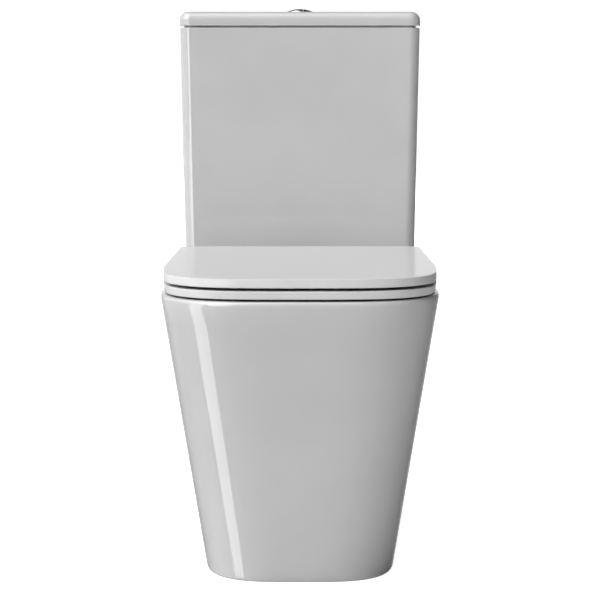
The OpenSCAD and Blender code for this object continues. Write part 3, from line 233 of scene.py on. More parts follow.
# %% Dress the solids that stay
FINISHES = {
    "ceramic": glaze,
    "seat_plastic": seat_gloss,
    "cap_plastic": seat_gloss,
    "chrome_trim": chrome,
    "steel": zinc,
    "white_plastic": white_plastic,
    "blue_plastic": blue_plastic,
    "rubber": black_rubber,
}
for part in frame["record"]["subparts"]:
    solid = frame["nodes"][part["node"]]
    solid.data.materials.clear()
    solid.data.materials.append(FINISHES[part["material_slot"]])
print(len(frame["nodes"]), "solids dressed")

# %% [markdown]
# The pan is one skin of glaze from the floor up over the rim and down into the bowl.
# It could be carved from a block with booleans, but its outline changes smoothly with height, so it
# is skinned: a ring of edges is extruded again and again, and each new ring is moved onto the
# outline at its own height. The outline's front is a rounded square, and its back has two nearly
# sharp corners against the wall.

# %% The outline: a rounded square in front and a small corner radius behind
# Shares of the half turn round the back: each side, each corner and each half of the rear edge.
SIDE_SHARE, CORNER_SHARE, BACK_SHARE = 0.16, 0.18, 0.16
EASE_ANGLE = 36


def rounded_square(turn, power):
    """The direction of a turn, and how far a rounded square reaches along it."""
    c, s = math.cos(turn), math.sin(turn)
    return c, s, (abs(c) ** power + abs(s) ** power) ** (-1 / power)


def outline_point(turn, half_w, y_front, y_mid, y_back, power, corner, ease=0):
    """A point on the outline. Ease makes the front rounder where it meets the sides."""
    if turn < 0:
        from_side = math.degrees(math.asin(abs(math.sin(turn))))
        eased = power - ease * max(0, 1 - from_side / EASE_ANGLE)
        c, s, reach = rounded_square(turn, eased)
        return half_w * c * reach, y_mid + (y_mid - y_front) * s * reach
    share = turn / math.pi
    side = 1 if share <= 0.5 else -1
    share = min(share, 1 - share)
    if share < SIDE_SHARE:
        return side * half_w, y_mid + (y_back - corner - y_mid) * share / SIDE_SHARE
    if share < SIDE_SHARE + CORNER_SHARE:
        a = (share - SIDE_SHARE) / CORNER_SHARE * math.pi / 2
        x = side * (half_w - corner + corner * math.cos(a))
        return x, y_back - corner + corner * math.sin(a)
    return side * (half_w - corner) * (0.5 - share) / BACK_SHARE, y_back


def oval_point(turn, half_w, y_front, y_mid, y_back, power):
    c, s, reach = rounded_square(turn, power)
    half_l = (y_mid - y_front) if s < 0 else (y_back - y_mid)
    return half_w * c * reach, y_mid + half_l * s * reach


# %% Skinning: extrude a ring and move it onto the next outline
RING_SIDES = 192


def ring_verts(geometry):
    return [g for g in geometry if isinstance(g, bmesh.types.BMVert)]


def ring_edges(geometry):
    return [g for g in geometry if isinstance(g, bmesh.types.BMEdge) and g.is_boundary]


def skin(bm, sections, joined=False):
    """Skins the outlines one after the other. Its two ends are joined, or closed by a face each."""
    turn_of = bm.verts.layers.float.new("turn")
    ring = bmesh.ops.create_circle(bm, segments=RING_SIDES, radius=1)["verts"]
    for v in ring:
        v[turn_of] = math.atan2(v.co.y, v.co.x)
    first = edges = list(bm.edges)

    def move_to(section):
        for v in ring:
            v.co = section(v[turn_of])

    move_to(sections[0])
    for section in sections[1:]:
        grown = bmesh.ops.extrude_edge_only(bm, edges=edges)["geom"]
        ring, edges = ring_verts(grown), ring_edges(grown)
        move_to(section)
    if joined:
        bmesh.ops.bridge_loops(bm, edges=first + edges)
    else:
        for loop in (first, edges):
            bmesh.ops.contextual_create(bm, geom=loop)


def mix(a, b, t):
    return a + (b - a) * t


def rounding(steps, start=0, stop=90):
    """The angles at which the outlines round an edge."""
    return [math.radians(mix(start, stop, i / steps)) for i in range(steps + 1)]


# %% [markdown]
# The skirt tapers from the rim to a smaller foot that stands back at the front.
# Four families of outlines follow each other: the bowl's underside, the inside of the skirt, its
# outside, and the bowl. Extra rings close beside each rounded edge hold the flat faces flat, so
# their gloss stays calm.

# %% The outlines of the skirt and the bowl
# Half is half a width, front is how far the rounded front reaches, T is a thickness, and a higher
# power makes a squarer outline.
FOOT_HALF, FOOT_SETBACK, FOOT_FRONT, RIM_FRONT = 132.8, 148, 144, 170
FOOT_POWER, RIM_POWER, REAR_CORNER = 3.6, 3.35, 5
SKIRT_T, DECK_T, TAPER_END, RIM_ROUND, MOUTH_ROUND = 12, 18, 7, 4.5, 5
MOUTH_FRONT, MOUTH_BACK, MOUTH_HALF, MOUTH_POWER = FRONT_Y + 56, FRONT_Y + 386, 122, 2.9
SUMP_Y, SUMP_HALF, SUMP_TOP, SUMP_ROUND, SUMP_POWER = WALL_Y - 313, 35, 42, 12, 2.2
SUMP_FRONT, SUMP_BACK = SUMP_Y - 36, SUMP_Y + 36
BOWL_FALL, BOWL_BELLY, BOWL_T = 1.6, 1.2, 10


def skirt(z, inset=0, back_inset=0):
    t = min(z / (RIM_Z - TAPER_END), 1)
    y_front = FRONT_Y + FOOT_SETBACK * (1 - t)
    y_mid = y_front + mix(FOOT_FRONT, RIM_FRONT, t)
    half_w = mix(FOOT_HALF, RIM_HALF, t)
    power = mix(FOOT_POWER, RIM_POWER, t)
    return lambda turn: (*outline_point(turn, half_w - inset, y_front + inset, y_mid,
                                        WALL_Y - back_inset, power, REAR_CORNER), z)


def bowl(u, outset=0.0, drop=0.0, shrink=1.0):
    """An outline of the bowl, from the mouth at u = 0 to the sump at u = 1."""
    share = (1 - u ** BOWL_FALL) ** BOWL_BELLY
    half_w = mix(SUMP_HALF, MOUTH_HALF, share) * shrink + outset
    y_mid = mix(SUMP_Y, (MOUTH_FRONT + MOUTH_BACK) / 2, share)
    y_front = y_mid - (y_mid - mix(SUMP_FRONT, MOUTH_FRONT, share)) * shrink - outset
    y_back = y_mid + (mix(SUMP_BACK, MOUTH_BACK, share) - y_mid) * shrink + outset
    z = mix(RIM_Z - MOUTH_ROUND, SUMP_TOP, u) - drop
    power = mix(SUMP_POWER, MOUTH_POWER, share)
    return lambda turn: (*oval_point(turn, half_w, y_front, y_mid, y_back, power), z)


# %% Skin the pan
# The share of the bowl's depth at which its underside meets the deck.
UNDER_DECK = (DECK_T - MOUTH_ROUND) / (RIM_Z - MOUTH_ROUND - SUMP_TOP)
DECK_FILLET = 10

under_bowl = [
    bowl(1, BOWL_T * 0.8, SUMP_ROUND + BOWL_T, 0.62),
    bowl(1, BOWL_T, SUMP_ROUND * 0.7 + 8, 0.9),
]
under_bowl += [bowl(u / 20, BOWL_T, BOWL_T * (u / 20) ** 2 * 0.6) for u in range(20, 1, -2)]
under_bowl += [bowl(UNDER_DECK, BOWL_T)]

inside_skirt = [
    skirt(RIM_Z - DECK_T, SKIRT_T + DECK_FILLET, SKIRT_T + DECK_FILLET),
    skirt(RIM_Z - DECK_T - DECK_FILLET, SKIRT_T, SKIRT_T),
]
inside_skirt += [skirt(z, SKIRT_T, SKIRT_T) for z in (300, 200, 100, 0)]

outside_skirt = [skirt(0, 1.5), skirt(0.6, 0.45), skirt(1.5), skirt(5)]
outside_skirt += [skirt(z) for z in range(40, 385, 30)] + [skirt(RIM_Z - TAPER_END)]
outside_skirt += [skirt(RIM_Z - RIM_ROUND * (1 - math.sin(a)), RIM_ROUND * (1 - math.cos(a)))
                  for a in rounding(6)]
outside_skirt += [skirt(RIM_Z, RIM_ROUND + 0.8, 0.8), skirt(RIM_Z, RIM_ROUND + 4, 4)]

inside_bowl = [bowl(0, MOUTH_ROUND + 2, -MOUTH_ROUND)]
inside_bowl += [bowl(0, MOUTH_ROUND * (1 - math.cos(a)), -MOUTH_ROUND * math.sin(a))
                for a in rounding(5, 90, 0)]
inside_bowl += [bowl(u / 25) for u in range(1, 26)]
inside_bowl += [bowl(1, 0, SUMP_ROUND * depth, shrink)
                for depth, shrink in ((0.35, 0.985), (0.7, 0.92), (0.93, 0.8), (1, 0.6))]

pan_outlines = under_bowl + inside_skirt + outside_skirt + inside_bowl
print(len(pan_outlines), "outlines for the pan")
bm = bmesh.new()
skin(bm, pan_outlines)
pan_shell = finish_piece(bm, "pan_shell", "base", glaze, ["pan", "bowl"])

# %% [markdown]
# The holes are cut last, as they are in the factory while the clay is leather hard: the way in
# behind the trapway, the seat of the flush gasket, the notch for the water inlet, the bolt holes
# and the seats of the two side caps. All cutters are joined into one tool, and a boolean modifier
# takes them out in one pass.

# %% Cutting tools
def rod(bm, radius, start, end, sides=64):
    """A capped round bar between two points."""
    start, end = Vector(start), Vector(end)
    along = end - start
    turn = along.to_track_quat("Z", "Y").to_matrix().to_4x4()
    bmesh.ops.create_cone(bm, cap_ends=True, segments=sides, radius1=radius, radius2=radius,
                          depth=along.length, matrix=Matrix.Translation((start + end) / 2) @ turn)


def upright_rod(bm, radius, x, y, z_low, z_high, sides=64):
    rod(bm, radius, (x, y, z_low), (x, y, z_high), sides)


def block(bm, low, high):
    size = [b - a for a, b in zip(low, high)]
    middle = [(a + b) / 2 for a, b in zip(low, high)]
    place = Matrix.Translation(middle) @ Matrix.Diagonal((*size, 1))
    bmesh.ops.create_cube(bm, size=1, matrix=place)


def cut(piece, make_tool, operation="DIFFERENCE", crossing=False):
    """Takes a tool out of a piece, or unites the two. Crossing allows for bars that cross in it."""
    bm = bmesh.new()
    make_tool(bm)
    tool = add_to_scene("cutter", metre_mesh(bm, "cutter"))
    carve = piece.modifiers.new("carve", "BOOLEAN")
    carve.operation, carve.object, carve.solver = operation, tool, "EXACT"
    carve.use_self = crossing
    carved = piece.evaluated_get(bpy.context.evaluated_depsgraph_get())
    done = bpy.data.meshes.new_from_object(carved)
    piece.modifiers.clear()
    piece.data = done
    bpy.data.objects.remove(tool)
    done.set_sharp_from_angle(angle=math.radians(SHARP_ANGLE))
    print(piece.name, "cut,", len(done.polygons), "faces")


# %% Cut the pan's holes
WAY_IN_HALF, WAY_IN_TOP, WAY_IN_DEPTH = 105, 301, 24
GASKET_R, FLUSH_R, TRAP_R, DUCT_R = 56, 35, 32, 26
GASKET_DEPTH, DRILL_DEPTH, NOTCH_DEPTH = 12, 30, 58
INLET_X, INLET_Y, NOTCH_R = -124, WALL_Y - 68, 22
DIP_Z, DUCT_Z = 66, RIM_Z - 50
BOLT_X, HINGE_X, BOLT_HOLE_R = 80, 77.5, 6
CAP_X, SIDE_Y, SIDE_Z, CAP_SEAT_R, SCREW_HOLE_R = 134.2, WALL_Y - 120, 34, 10.4, 5
SCREW_X0, SCREW_X1, OUTSIDE_X = 110, 140, 150


def pan_cutters(bm):
    """Every tool runs a little past the face it opens, so that no thin skin is left."""
    block(bm, (-WAY_IN_HALF, WALL_Y - WAY_IN_DEPTH, -1), (WAY_IN_HALF, WALL_Y + 1, WAY_IN_TOP))
    upright_rod(bm, GASKET_R, 0, FLUSH_Y, RIM_Z - GASKET_DEPTH, RIM_Z + 1, 96)
    upright_rod(bm, FLUSH_R, 0, FLUSH_Y, RIM_Z - DRILL_DEPTH, RIM_Z - 5)
    upright_rod(bm, NOTCH_R, INLET_X, INLET_Y, RIM_Z - NOTCH_DEPTH, RIM_Z + 1)
    block(bm, (INLET_X - NOTCH_R, INLET_Y, RIM_Z - NOTCH_DEPTH - 0.5),
          (INLET_X + NOTCH_R, WALL_Y + 2, RIM_Z + 2))
    rod(bm, TRAP_R, (0, SUMP_Y + 5, DIP_Z), (0, SUMP_BACK + 30, DIP_Z))
    rod(bm, DUCT_R, (0, MOUTH_BACK - 30, DUCT_Z), (0, MOUTH_BACK + 40, DUCT_Z))
    for side in (-1, 1):
        for x, y in ((BOLT_X, FLUSH_Y), (HINGE_X, HINGE_Y)):
            upright_rod(bm, BOLT_HOLE_R, side * x, y, RIM_Z - DRILL_DEPTH, RIM_Z + 1, 32)
        rod(bm, CAP_SEAT_R, (side * CAP_X, SIDE_Y, SIDE_Z), (side * OUTSIDE_X, SIDE_Y, SIDE_Z), 48)
        rod(bm, SCREW_HOLE_R, (side * SCREW_X0, SIDE_Y, SIDE_Z), (side * SCREW_X1, SIDE_Y, SIDE_Z),
            32)


cut(pan_shell, pan_cutters, crossing=True)

# %% [markdown]
# The trapway is the bent passage behind the bowl that keeps the water seal. From behind and below
# it is in plain view. A ring is extruded out of the sump, spun up round the first bend, run up the
# slope, spun back level, flared and ended as a spigot. Solidify then gives the tube its wall,
# outwards from the passage.

# %% Sweep the trapway with spins
OUTLET_Z, TRAP_WALL = 180, 8.5
BEND_Y, BEND_R, BEND_STEPS, SLOPE = WALL_Y - 264, 46, 12, math.radians(60)
# The flare and the spigot: how far each ring stands from the wall, and its radius.
FLARE = ((120, TRAP_R), (113, 35), (102, 40.5), (95, 43), (50, 43))
rise = BEND_R * (1 - math.cos(SLOPE))
leg = (OUTLET_Z - DIP_Z - 2 * rise) / math.sin(SLOPE)
crown_y = BEND_Y + 2 * BEND_R * math.sin(SLOPE) + leg * math.cos(SLOPE)


def run_on(bm, edges, vec):
    """Extrudes a tube's open end, moves the new ring along and returns its edges."""
    grown = bmesh.ops.extrude_edge_only(bm, edges=edges)["geom"]
    bmesh.ops.translate(bm, vec=vec, verts=ring_verts(grown))
    return ring_edges(grown)


def bend(bm, edges, centre, angle):
    """Spins a tube's open end round a bend in the upright middle plane."""
    bent = bmesh.ops.spin(bm, geom=edges, cent=centre, axis=(1, 0, 0), angle=angle,
                          steps=BEND_STEPS, use_merge=False)["geom_last"]
    return ring_edges(bent)


bm = bmesh.new()
place = Matrix.Translation((0, SUMP_BACK + 2, DIP_Z)) @ Matrix.Rotation(math.pi / 2, 4, "X")
bmesh.ops.create_circle(bm, segments=64, radius=TRAP_R, matrix=place)
edges = run_on(bm, bm.edges[:], (0, BEND_Y - SUMP_BACK - 2, 0))
edges = bend(bm, edges, (0, BEND_Y, DIP_Z + BEND_R), SLOPE)
edges = run_on(bm, edges, (0, leg * math.cos(SLOPE), leg * math.sin(SLOPE)))
edges = bend(bm, edges, (0, crown_y, OUTLET_Z - BEND_R), -SLOPE)
for from_wall, radius in FLARE:
    grown = bmesh.ops.extrude_edge_only(bm, edges=edges)["geom"]
    edges, verts = ring_edges(grown), ring_verts(grown)
    middle = sum((v.co for v in verts), Vector()) / len(verts)
    growth = radius / (verts[0].co - middle).length
    centred = Matrix.Translation(-middle)
    bmesh.ops.scale(bm, vec=(growth, 1, growth), space=centred, verts=verts)
    bmesh.ops.translate(bm, vec=(0, WALL_Y - from_wall - middle.y, 0), verts=verts)
trapway = finish_piece(bm, "pan_trapway", "base", glaze, ["trapway"])
wall = trapway.modifiers.new("wall", "SOLIDIFY")
wall.thickness, wall.offset, wall.use_even_offset = TRAP_WALL * MM, 1, True
print("trapway crown at", round(crown_y), "and passage", 2 * TRAP_R, "mm wide")

# %% [markdown]
# Flush water enters through a short sleeve under the cistern and a duct to the back of the bowl.
# Both hang under the deck: a turned cup and a plain tube, with one bore cut through the two.

# %% Turn profiles round an upright axis
def turned(bm, profile, x, y, steps=64):
    """Spins a line of (radius, z) points once round an upright axis through x, y."""
    points = [bm.verts.new((x + r, y, z)) for r, z in profile]
    line = [bm.edges.new(pair) for pair in zip(points, points[1:])]
    bmesh.ops.spin(bm, geom=points + line, cent=(x, y, 0), axis=(0, 0, 1), angle=2 * math.pi,
                   steps=steps, use_merge=True)


# %% The inlet sleeve and duct under the deck
SLEEVE_R, SLEEVE_FOOT, SLEEVE_FLOOR, SLEEVE_TOP = 43, RIM_Z - 84, RIM_Z - 76, RIM_Z - DECK_T + 0.5
DUCT_OUTER = 33.5

bm = bmesh.new()
turned(bm, [(0, SLEEVE_FOOT), (SLEEVE_R, SLEEVE_FOOT), (SLEEVE_R, SLEEVE_TOP),
            (FLUSH_R, SLEEVE_TOP), (FLUSH_R, SLEEVE_FLOOR), (0, SLEEVE_FLOOR)], 0, FLUSH_Y)
inlet = finish_piece(bm, "pan_inlet_sleeve", "base", glaze, ["flush_inlet"])
bm = bmesh.new()
rod(bm, DUCT_OUTER, (0, MOUTH_BACK + 4, DUCT_Z), (0, FLUSH_Y - 38, DUCT_Z))
duct = finish_piece(bm, "pan_flush_duct", "base", glaze, ["flush_inlet"])


def duct_bore(bm):
    rod(bm, DUCT_R, (0, MOUTH_BACK - 5, DUCT_Z), (0, FLUSH_Y, DUCT_Z))


cut(inlet, duct_bore)
cut(duct, duct_bore)

# %% [markdown]
# The cistern is a slim box that widens a little towards its top. A cube with bevelled edges makes
# it: the upright edges get the large corner radius first, then the bottom and the top get small
# ones. A second such box, a wall's thickness smaller, is cut out of it, and the bolt and pipe holes
# are drilled after that.

# %% Boxes with rounded edges
SHARP_TURN = 0.9
CORNER_STEPS, EDGE_STEPS = 10, 8


def edges_at(bm, z):
    return [e for e in bm.edges if all(abs(v.co.z - z) < 0.01 for v in e.verts)]


def upright_edges(bm):
    return [e for e in bm.edges if abs(e.verts[0].co.z - e.verts[1].co.z) > 5]


def sharp_edges(bm):
    return [e for e in bm.edges if e.is_manifold and e.calc_face_angle(0) > SHARP_TURN]


def round_edges(bm, edges, radius, segments):
    bmesh.ops.bevel(bm, geom=edges, offset=radius, segments=segments, profile=0.5,
                    affect="EDGES", material=-1)


def soft_box(bm, half, front, back, z_low, z_high, corner, foot=0, top=0, taper=(0, 0)):
    """A box whose upright edges are rounded first, then its foot and top.
    The taper says how far its foot stands in from each side and from the front."""
    for v in bmesh.ops.create_cube(bm, size=2)["verts"]:
        low = v.co.z < 0
        side_in, front_in = taper if low else (0, 0)
        v.co.x *= half - side_in
        v.co.y = back if v.co.y > 0 else front + front_in
        v.co.z = z_low if low else z_high
    round_edges(bm, upright_edges(bm), corner, CORNER_STEPS)
    for z, radius in ((z_low, foot), (z_high, top)):
        if radius:
            round_edges(bm, edges_at(bm, z), radius, EDGE_STEPS)


def even_gloss(piece):
    """Weighted normals keep broad faces flat and leave the turning of the light to rounded edges."""
    weigh = piece.modifiers.new("even_gloss", "WEIGHTED_NORMAL")
    weigh.keep_sharp = True
    weigh.weight = 80


# %% Make the cistern body
TANK_HALF, TANK_FRONT, TANK_BACK = tank_high[0], tank_low[1], tank_high[1]
TANK_Z0, TANK_Z1 = tank_low[2], tank_high[2]
TANK_FLOOR, TANK_WALL, TANK_CORNER, TANK_FOOT, TANK_TAPER = TANK_Z0 + 14, 9, 16, 5, (5, 3)
OUTLET_HOLE_R, INLET_HOLE_R = 31.5, 11.9

bm = bmesh.new()
soft_box(bm, TANK_HALF, TANK_FRONT, TANK_BACK, TANK_Z0, TANK_Z1, TANK_CORNER,
         foot=TANK_FOOT, top=1, taper=TANK_TAPER)
tank = finish_piece(bm, "cistern_shell", "base", glaze, ["cistern_body"], sharp=50)


def tank_hollow(bm):
    soft_box(bm, TANK_HALF - TANK_WALL, TANK_FRONT + TANK_WALL, TANK_BACK - TANK_WALL,
             TANK_FLOOR, TANK_Z1 + 6, TANK_CORNER - TANK_WALL, foot=TANK_FOOT, taper=TANK_TAPER)


def tank_holes(bm):
    z_low, z_high = TANK_Z0 - 2, TANK_FLOOR + 2
    upright_rod(bm, OUTLET_HOLE_R, 0, FLUSH_Y, z_low, z_high)
    upright_rod(bm, INLET_HOLE_R, INLET_X, INLET_Y, z_low, z_high)
    for side in (-1, 1):
        upright_rod(bm, BOLT_HOLE_R, side * BOLT_X, FLUSH_Y, z_low, z_high, 32)


cut(tank, tank_hollow)
cut(tank, tank_holes)
even_gloss(tank)

# %% [markdown]
# The lid bears on the body by a raised strip set in from its edge, so a fine dark line shows
# between them. It is the same kind of box with a larger radius on its top edge. A lip under it
# drops inside the body and keeps it in place, and a round hole in the middle takes the push
# button's sleeve.

# %% Make the cistern's lid
COVER_HALF, COVER_Y0, COVER_Y1 = cover_high[0], cover_low[1], cover_high[1]
COVER_Z0, COVER_Z1, LIP_Z = TANK_Z1, cover_high[2], cover_low[2]
COVER_T, COVER_CORNER, COVER_ROUND, GAP_H, BUTTON_HOLE_R = 10.5, 16.5, 13.5, 3, 24
UNDER_Z = COVER_Z1 - COVER_T
# How far the strip, the lip and the hollow stand in from the back, and from the other sides.
OVERHANG, GAP_BACK, LIP_BACK, HOLLOW_BACK = 0.6, 5, 10.5, 17.5
GAP_CORNER, LIP_CORNER, HOLLOW_CORNER = 11, 5.5, 3
GAP_D, LIP_D, HOLLOW_D = 6 + OVERHANG, LIP_BACK + OVERHANG, HOLLOW_BACK + OVERHANG

bm = bmesh.new()
soft_box(bm, COVER_HALF, COVER_Y0, COVER_Y1, COVER_Z0 + GAP_H, COVER_Z1, COVER_CORNER,
         foot=1, top=COVER_ROUND)
cover = finish_piece(bm, "cistern_cover", "cistern_cover", glaze, ["cistern_lid"],
                     sharp=50)


def cover_seat(bm):
    soft_box(bm, COVER_HALF - GAP_D, COVER_Y0 + GAP_D, COVER_Y1 - GAP_BACK,
             COVER_Z0, COVER_Z0 + GAP_H + 3, GAP_CORNER)


def cover_lip(bm):
    soft_box(bm, COVER_HALF - LIP_D, COVER_Y0 + LIP_D, COVER_Y1 - LIP_BACK,
             LIP_Z, COVER_Z0 + 4, LIP_CORNER, foot=1)


def cover_hollow(bm):
    soft_box(bm, COVER_HALF - HOLLOW_D, COVER_Y0 + HOLLOW_D, COVER_Y1 - HOLLOW_BACK,
             LIP_Z - 4, UNDER_Z, HOLLOW_CORNER, top=2)


def cover_hole(bm):
    upright_rod(bm, BUTTON_HOLE_R, 0, FLUSH_Y, UNDER_Z - 3, COVER_Z1 + 3, 96)


cut(cover, cover_seat, "UNION")
cut(cover, cover_lip, "UNION")
cut(cover, cover_hollow)
cut(cover, cover_hole)
even_gloss(cover)

# %% [markdown]
# The push button is chromed: a turned surround with a sleeve, and a domed disc that a straight gap
# parts into a large and a small button. The dome is spun, then cut in two with bisect_plane, once
# for each side of the gap.

# %% Make the button's surround
BEZEL_R, BEZEL_TOP, BEZEL_FOOT = bezel_high[0], bezel_high[2], bezel_high[2] - 34
BEZEL_BORE, BEZEL_SLEEVE, BEZEL_FLOOR_T, BUTTON_STEPS = 21, 23, 3, 96

surround = [(BEZEL_BORE, BEZEL_FOOT), (BEZEL_SLEEVE, BEZEL_FOOT), (BEZEL_SLEEVE, COVER_Z1 + 0.05)]
surround += [(BEZEL_R - inset, COVER_Z1 + up) for inset, up in
             ((0.4, 0.05), (0, 0.4), (0, 0.9), (0.5, 1.5), (1.4, 2.1), (2.8, 2.6))]
surround += [(23.4, BEZEL_TOP), (22.2, BEZEL_TOP - 0.1), (21.4, BEZEL_TOP - 0.5)]
surround += [(BEZEL_BORE, BEZEL_TOP - down) for down in (1.2, 20)] + [(BEZEL_BORE, BEZEL_FOOT)]
sleeve_floor = [(0, BEZEL_FOOT - BEZEL_FLOOR_T), (BEZEL_SLEEVE, BEZEL_FOOT - BEZEL_FLOOR_T),
                (BEZEL_SLEEVE, BEZEL_FOOT), (0, BEZEL_FOOT)]
bm = bmesh.new()
turned(bm, surround, 0, FLUSH_Y, BUTTON_STEPS)
turned(bm, sleeve_floor, 0, FLUSH_Y, BUTTON_STEPS)
finish_piece(bm, "button_surround", "cistern_cover", chrome, ["button_bezel"])

# %% Make the two buttons
full_low, full_high = edges_of("full_flush_button")
half_low = edges_of("half_flush_button")[0]
CROWN_Z, BUTTON_FOOT, BUTTON_R, DOME_R = full_high[2], full_low[2], 20.6, 50.0
EDGE_Z = CROWN_Z - DOME_R + math.sqrt(DOME_R ** 2 - BUTTON_R ** 2)
DOME_STEPS, DOME_TURN = 8, math.asin((BUTTON_R - 0.8) / DOME_R)

button_line = [(DOME_R * math.sin(a), CROWN_Z - DOME_R + DOME_R * math.cos(a))
               for a in [DOME_TURN * i / DOME_STEPS for i in range(DOME_STEPS + 1)]]
button_line += [(BUTTON_R - 0.35, EDGE_Z + 0.05), (BUTTON_R, EDGE_Z - 0.5),
                (BUTTON_R, BUTTON_FOOT), (0, BUTTON_FOOT)]


def button_half(name, body, cad_node, x, clear_outer):
    bm = bmesh.new()
    turned(bm, button_line, 0, FLUSH_Y, BUTTON_STEPS)
    bmesh.ops.remove_doubles(bm, verts=bm.verts, dist=MERGE_DIST)
    geometry = bm.verts[:] + bm.edges[:] + bm.faces[:]
    made = bmesh.ops.bisect_plane(bm, geom=geometry, dist=0.0001, plane_co=(x, 0, 0),
                                  plane_no=(1, 0, 0), clear_outer=clear_outer,
                                  clear_inner=not clear_outer)
    bmesh.ops.contextual_create(bm, geom=ring_edges(made["geom_cut"]))
    rim = [e for e in bm.edges
           if all(abs(v.co.x - x) < 0.001 and v.co.z > EDGE_Z - 1 for v in e.verts)]
    round_edges(bm, rim, 0.5, 3)
    finish_piece(bm, name, body, chrome, [cad_node])


button_half("full_flush_cap", "full_button", "full_flush_button", full_high[0], True)
button_half("half_flush_cap", "half_button", "half_flush_button", half_low[0], False)

# %% [markdown]
# The seat is a flat ring with softly rounded edges. It is skinned like the pan, but its last ring
# joins the first: up the outside, over the top, down the inside of the hole and back under.

# %% Make the seat
SEAT_HALF, SEAT_FRONT, SEAT_MID = lid_high[0], lid_low[1], lid_low[1] + 168
SEAT_BACK, LID_BACK = HINGE_Y - 10, lid_high[1]
SEAT_Z0, SEAT_Z1 = RIM_Z + 2.9, RIM_Z + 13.1
SEAT_POWER, SEAT_EASE = 3.5, 1.5
HOLE_FRONT, HOLE_L, HOLE_HALF, HOLE_POWER = SEAT_FRONT + 64, 280, 112, 2.8
HOLE_ROUND_W, HOLE_ROUND_H, HOLE_FOOT_ROUND = 5.5, 5, 2.2


def seat_line(z, inset, back):
    return lambda turn: (*outline_point(turn, SEAT_HALF - inset, SEAT_FRONT + inset, SEAT_MID,
                                        back - inset, SEAT_POWER, REAR_CORNER, SEAT_EASE), z)


def hole_line(z, outset):
    return lambda turn: (*oval_point(turn, HOLE_HALF + outset, HOLE_FRONT - outset,
                                     HOLE_FRONT + HOLE_L / 2, HOLE_FRONT + HOLE_L + outset,
                                     HOLE_POWER), z)


def edge_rows(z0, z1, foot_round, head_round, back, foot_in=0.0, head_in=0.0):
    """Outlines up an edge rounded below and above, and drawn in towards its foot or its head."""
    rows = [(z0 + foot_round * (1 - math.cos(a)), foot_round * (1 - math.sin(a)))
            for a in rounding(4)]
    rows += [(mix(z0 + foot_round, z1 - head_round, i / 4), 0) for i in (1, 2, 3)]
    rows += [(z1 - head_round * (1 - math.cos(a)), head_round * (1 - math.sin(a)))
             for a in reversed(rounding(4))]
    outlines = []
    for z, inset in rows:
        share = (z - z0) / (z1 - z0)
        outlines.append(seat_line(z, inset + foot_in * (1 - share) + head_in * share ** 2, back))
    return outlines


seat_outlines = [seat_line(SEAT_Z0, inset, SEAT_BACK) for inset in (5, 3)]
seat_outlines += edge_rows(SEAT_Z0, SEAT_Z1, 0.7, 0.9, SEAT_BACK, foot_in=1.4)
seat_outlines += [seat_line(SEAT_Z1, inset, SEAT_BACK) for inset in (1.8, 4)]
seat_outlines += [hole_line(SEAT_Z1, 9)]
seat_outlines += [hole_line(SEAT_Z1 - HOLE_ROUND_H * (1 - math.cos(a)),
                            HOLE_ROUND_W * (1 - math.sin(a))) for a in rounding(7)]
seat_outlines += [hole_line(SEAT_Z0 + HOLE_FOOT_ROUND * (1 - math.cos(a)),
                            HOLE_FOOT_ROUND * (1 - math.sin(a))) for a in reversed(rounding(4))]
seat_outlines += [hole_line(SEAT_Z0, 5)]
bm = bmesh.new()
skin(bm, seat_outlines, joined=True)
finish_piece(bm, "seat_shell", "seat", seat_gloss, ["seat_ring"], sharp=60)

# %% [markdown]
# Seat and lid turn on the pins by two knuckles each. A knuckle is a round barrel on the hinge axis,
# with a block that runs into the ring or the plate it holds. All its sharp edges are rounded by one
# bevel. The pins are among the solids that stay.

# %% Hinge knuckles
KNUCKLE_R, KNUCKLE_CLEAR = 7, 0.6
# Where the parts of the hinge start and end, counted from the middle of the object.
SEAT_KNUCKLE_X, BRACKET_X, LID_KNUCKLE_X, RELIEF_X = (57.6, 69.6), (70, 85), (85.4, 97.4), (57.1, 85.3)


def hinge_rod(bm, radius, side, ends, sides=48):
    rod(bm, radius, (side * ends[0], HINGE_Y, HINGE_Z), (side * ends[1], HINGE_Y, HINGE_Z), sides)


def knuckles(name, body, ends, block_low, block_high, cad_node):
    bm = bmesh.new()
    for side in (-1, 1):
        hinge_rod(bm, KNUCKLE_R, side, ends)
        low, high = sorted(side * x for x in ends)
        block(bm, (low + 0.01, HINGE_Y + block_low[0], HINGE_Z + block_low[1]),
              (high - 0.01, HINGE_Y + block_high[0], HINGE_Z + block_high[1]))
    round_edges(bm, sharp_edges(bm), 0.6, 3)
    finish_piece(bm, name, body, seat_gloss, [cad_node])


knuckles("seat_knuckles", "seat", SEAT_KNUCKLE_X, (-14, -6.8), (0, -0.2), "seat_ring")
knuckles("lid_knuckles", "lid", LID_KNUCKLE_X, (-7, -0.5), (7, 6.5), "seat_lid")

# %% [markdown]
# The lid is a slim plate with a shallow hollow underneath, so it closes over the seat with a thin
# shadow gap. Its hollow, its lower rim and its edge are one skin. Two round reliefs leave room for
# the brackets and knuckles.

# %% Make the lid
LID_Z0, LID_Z1, LID_HOLLOW = RIM_Z + 17, RIM_Z + 28, 4

